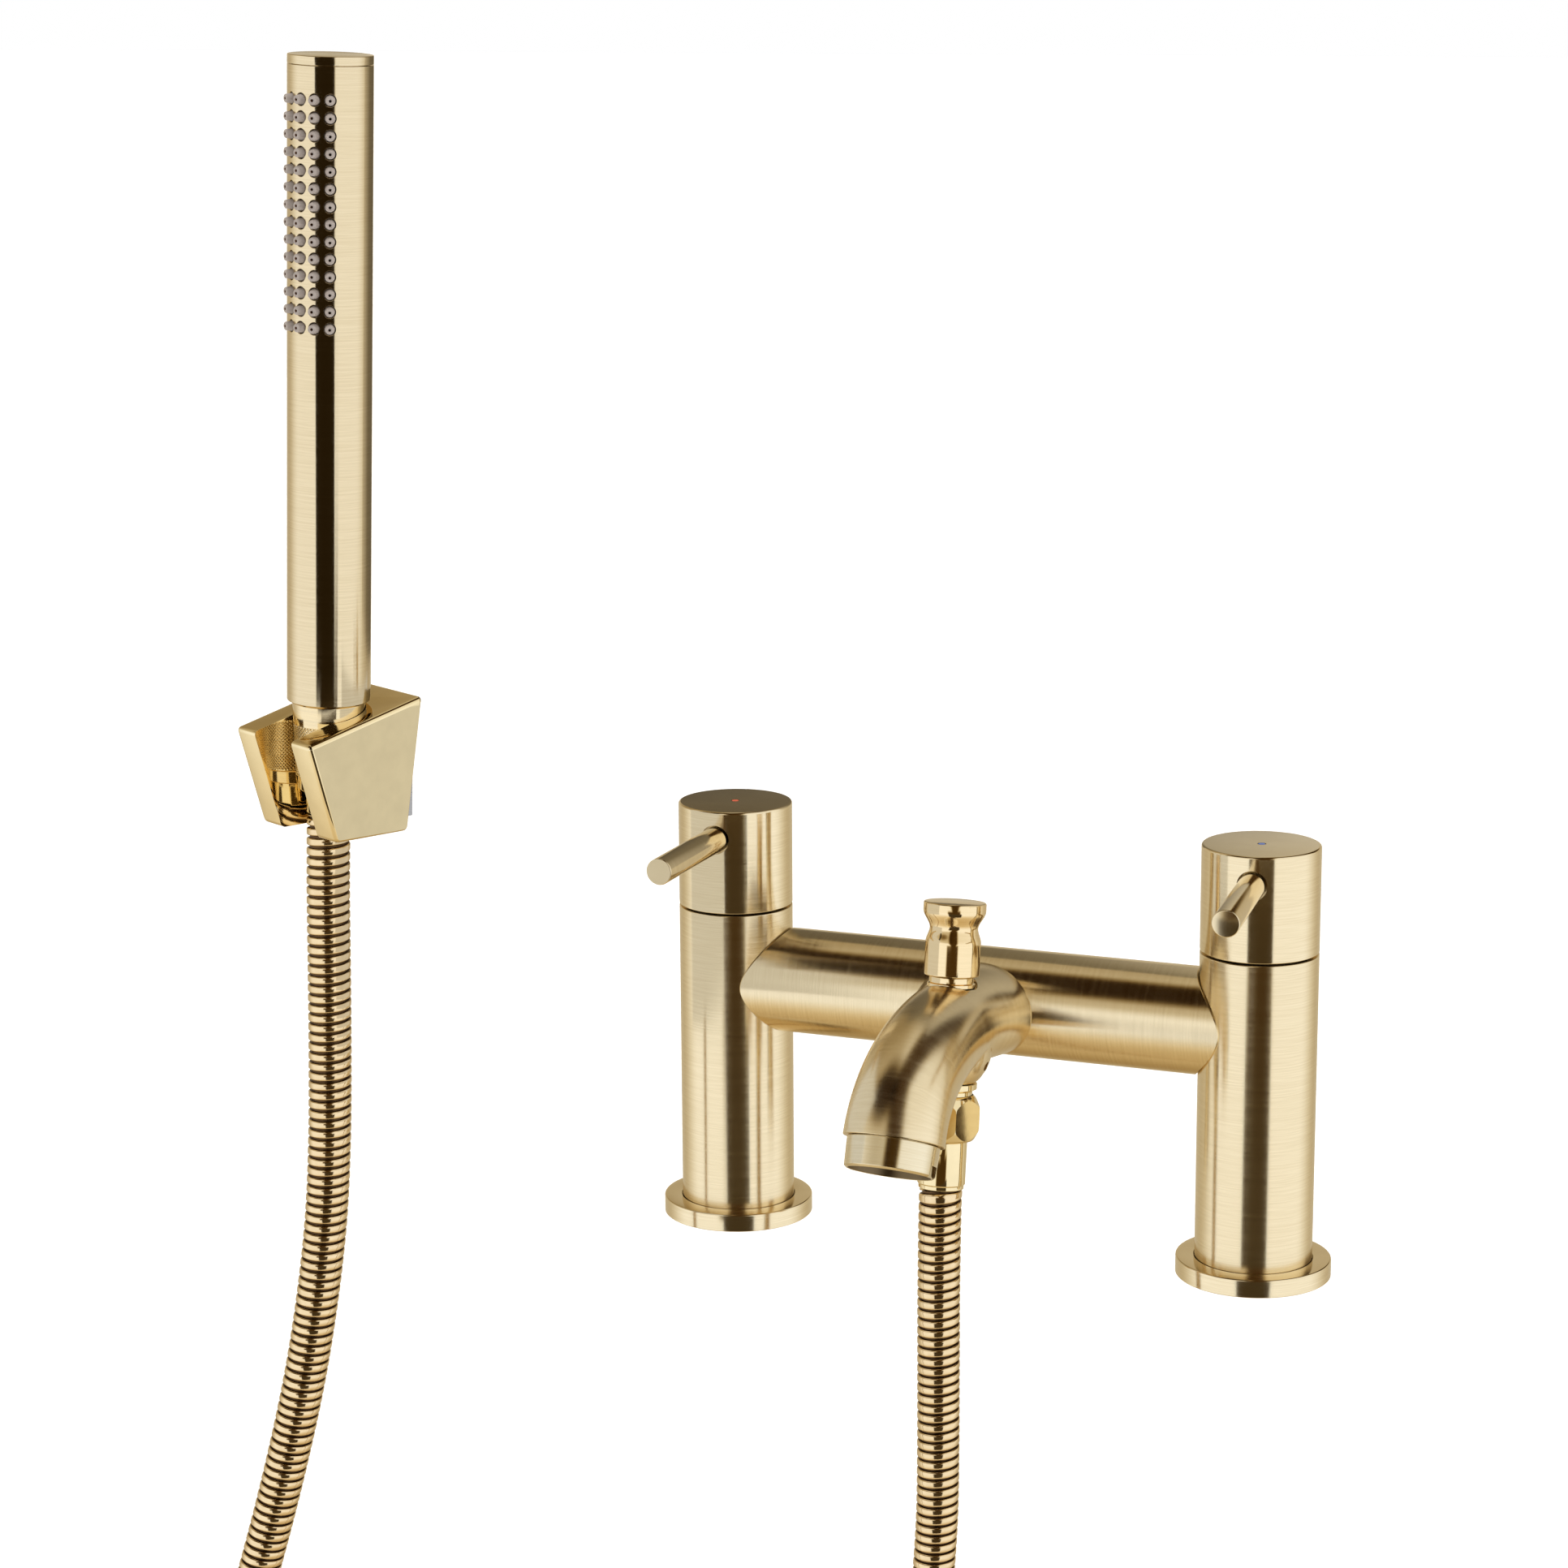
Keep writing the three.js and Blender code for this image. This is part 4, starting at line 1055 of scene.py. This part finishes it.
KEPT = {
    "satin_brass": satin_z, "polished_brass": gold, "hose_brass": hose_brass, "raw_brass": raw_brass,
    "steel": steel,
    "ceramic": ceramic, "black_rubber": black_rubber, "grey_rubber": grey_rubber, "plastic": plastic,
    "red_index": red_index, "blue_index": blue_index,
}
slots = {entry["node"]: entry["material_slot"] for entry in frame["record"]["subparts"]}
for node, slot_name in slots.items():
    piece = bpy.data.objects.get(node)
    if piece is None:
        continue
    for material_slot in piece.material_slots:
        material_slot.material = KEPT[slot_name]

# ------------------------------------------------------------------ studio

FLOOR_Z = -0.46


def build_floor():
    mesh = bpy.data.meshes.new("floor")
    size = 30
    mesh.from_pydata([(-size, -size, FLOOR_Z), (size, -size, FLOOR_Z), (size, size, FLOOR_Z),
                      (-size, size, FLOOR_Z)],
                     [], [(0, 1, 2, 3)])
    floor = bpy.data.objects.new("floor", mesh)
    scene.collection.objects.link(floor)
    material, nodes, links, shader = new_material("floor")
    shader.inputs["Base Color"].default_value = (0.93, 0.93, 0.93, 1)
    shader.inputs["Roughness"].default_value = 0.9
    shader.inputs["Specular IOR Level"].default_value = 0.1
    mesh.materials.append(material)
    floor.visible_glossy = False


def unseen(piece):
    """Seen by reflections only."""
    piece.visible_camera = False
    piece.visible_diffuse = False
    piece.visible_shadow = False
    piece.visible_transmission = False


def card(name, centre, width, height, facing, stops):
    """An upright card that shows only in reflections; stops are its colours from left to right as seen."""
    out = Vector(facing).normalized()
    right = Vector((0, 0, 1)).cross(out).normalized()
    up = out.cross(right).normalized()
    corners = [Vector(centre) + right * x * width / 2 + up * z * height / 2
               for x, z in ((-1, -1), (1, -1), (1, 1), (-1, 1))]
    mesh = bpy.data.meshes.new(name)
    mesh.from_pydata([tuple(c) for c in corners], [], [(0, 1, 2, 3)])
    layer = mesh.uv_layers.new(name="across")
    for index, uv in enumerate(((0, 0), (1, 0), (1, 1), (0, 1))):
        layer.data[index].uv = uv
    piece = bpy.data.objects.new(name, mesh)
    scene.collection.objects.link(piece)
    material = bpy.data.materials.new(name)
    material.use_nodes = True
    nodes, links = material.node_tree.nodes, material.node_tree.links
    nodes.clear()
    coords = nodes.new("ShaderNodeTexCoord")
    split = nodes.new("ShaderNodeSeparateXYZ")
    links.new(coords.outputs["UV"], split.inputs[0])
    emission = nodes.new("ShaderNodeEmission")
    links.new(ramp(nodes, links, split.outputs["X"], stops), emission.inputs["Color"])
    output = nodes.new("ShaderNodeOutputMaterial")
    links.new(emission.outputs[0], output.inputs["Surface"])
    mesh.materials.append(material)
    unseen(piece)


STUDIO_FRONT = (0.350, -0.937, 0)          # level, from the object towards the camera
STUDIO_SIDE = (0.937, 0.350, 0)            # level, to the camera's right
STUDIO_PATCH = (-0.352, -0.398, 0.847)     # towards the dark patch overhead


def build_world():
    world = bpy.data.worlds.new("studio")
    scene.world = world
    world.use_nodes = True
    nodes, links = world.node_tree.nodes, world.node_tree.links
    nodes.clear()

    def math(operation, *values):
        node = nodes.new("ShaderNodeMath")
        node.operation = operation
        for socket, value in zip(node.inputs, values):
            if isinstance(value, (int, float)):
                socket.default_value = value
            else:
                links.new(value, socket)
        return node.outputs[0]

    def step(value, low, high, to_low, to_high):
        node = nodes.new("ShaderNodeMapRange")
        node.interpolation_type = "SMOOTHSTEP"
        for key, number in (("From Min", low), ("From Max", high), ("To Min", to_low), ("To Max", to_high)):
            node.inputs[key].default_value = number
        links.new(value, node.inputs["Value"])
        return node.outputs["Result"]

    coords = nodes.new("ShaderNodeTexCoord")
    direction = coords.outputs["Generated"]

    def along(vector):
        node = nodes.new("ShaderNodeVectorMath")
        node.operation = "DOT_PRODUCT"
        node.inputs[1].default_value = vector
        links.new(direction, node.inputs[0])
        return node.outputs["Value"]

    split = nodes.new("ShaderNodeSeparateXYZ")
    links.new(direction, split.inputs[0])
    height = split.outputs["Z"]
    front, side = along(STUDIO_FRONT), along(STUDIO_SIDE)

    # bright in front, half as bright behind, with one dark patch overhead
    walls = step(front, -0.75, 0.1, 0.5, 1.1)
    overhead_dark = step(along(STUDIO_PATCH), 0.85, 0.96, 0, 1)
    # the dark gap between the two lit walls, wider overhead and bent to one side towards the back
    middle = math("MAXIMUM", math("MINIMUM", math("MULTIPLY_ADD", front, -0.65, 0.25), 0.58), 0.0)
    off_middle = math("ABSOLUTE", math("SUBTRACT", side, middle))
    high_enough = math("MAXIMUM",
                       math("MULTIPLY", step(front, -0.1, 0.1, 0, 1), step(height, -0.14, -0.06, 0, 1)),
                       step(height, 0.25, 0.38, 0, 1))
    off_middle = math("SUBTRACT", off_middle, step(height, 0.0, 0.3, 0, 0.09))
    gap = math("MULTIPLY", step(off_middle, 0.13, 0.3, 1, 0), high_enough)
    # a second gap, level with the handset
    level_with_eye = math("MULTIPLY", step(height, -0.23, -0.18, 0, 1), step(height, 0.0, 0.08, 1, 0))
    eye_gap = math("MULTIPLY", step(math("ABSOLUTE", math("ADD", side, 0.06)), 0.33, 0.44, 1, 0),
                   level_with_eye)
    gap = math("MAXIMUM", gap, math("MULTIPLY", eye_gap, step(front, 0, 0.2, 0, 1)))
    keep = math("MULTIPLY", math("SUBTRACT", 1.0, math("MULTIPLY", overhead_dark, 0.985)),
                math("SUBTRACT", 1.0, math("MULTIPLY", gap, 0.97)))
    # darker towards the floor and up to the left
    below = step(height, -0.95, -0.35, 0, 1)
    left_share = math("MULTIPLY", step(side, -0.25, 0.1, 1, 0), step(height, 0.15, 0.45, 0, 1))
    above = math("MULTIPLY", step(height, 0.0, 0.6, 1.0, 0.85), math("MULTIPLY_ADD", left_share, -0.42, 1.0))
    level = math("MULTIPLY", math("MULTIPLY", walls, keep), math("MULTIPLY_ADD", below, 0.55, 0.45))
    level = math("MULTIPLY", level, above)

    tint = nodes.new("ShaderNodeMix")
    tint.data_type = "RGBA"
    tint.inputs["A"].default_value = (1.1, 0.97, 0.74, 1)
    tint.inputs["B"].default_value = (1, 1, 1, 1)
    links.new(below, tint.inputs["Factor"])
    studio = nodes.new("ShaderNodeBackground")
    # dim parts of the studio are warmer than bright ones
    warmth = nodes.new("ShaderNodeCombineXYZ")
    for socket, power in zip(warmth.inputs, (0.8, 1.0, 1.45)):
        links.new(math("POWER", level, power), socket)
    colour = nodes.new("ShaderNodeVectorMath")
    colour.operation = "MULTIPLY"
    links.new(tint.outputs["Result"], colour.inputs[0])
    links.new(warmth.outputs[0], colour.inputs[1])
    links.new(colour.outputs[0], studio.inputs["Color"])
    paper = nodes.new("ShaderNodeBackground")
    paper.inputs["Color"].default_value = (1, 1, 1, 1)
    rays = nodes.new("ShaderNodeLightPath")
    mix = nodes.new("ShaderNodeMixShader")
    output = nodes.new("ShaderNodeOutputWorld")
    links.new(rays.outputs["Is Camera Ray"], mix.inputs[0])
    links.new(studio.outputs[0], mix.inputs[1])
    links.new(paper.outputs[0], mix.inputs[2])
    links.new(mix.outputs[0], output.inputs["Surface"])


def build_lamp():
    data = bpy.data.lights.new("overhead", "SUN")
    data.energy = 3.2
    data.angle = radians(60)
    lamp = bpy.data.objects.new("overhead", data)
    lamp.matrix_world = place(0, 0, 3000)
    scene.collection.objects.link(lamp)
    lamp.visible_glossy = False
    lamp.visible_camera = False


build_floor()
build_world()
build_lamp()
BLACK = (0.02, 0.012, 0.004)
BROWN = (0.06, 0.042, 0.02)
SOFT_WHITE = (0.70, 0.70, 0.70)
card("card_pillars", (0.375, -1.106, -0.55), 1.02, 0.9, (-0.36, 0.93, 0), [(0, BROWN), (1, BROWN)])
card("card_handset_back", (-0.075, 0.173, 0.3), 0.35, 0.32, (-0.36, -0.93, 0),
     [(0, (0.12, 0.1, 0.07)), (0.6, (0.2, 0.17, 0.12)), (1, (0.6, 0.55, 0.45))])
card("card_handset", (-0.1569, -0.1825, 0.291), 0.067, 0.238, (-0.309, 0.951, 0), [(0, BLACK), (1, BLACK)])
card("card_bracket", (-0.118, -0.09, 0.12), 0.14, 0.12, (-0.94, -0.34, 0), [(0, SOFT_WHITE), (1, SOFT_WHITE)])
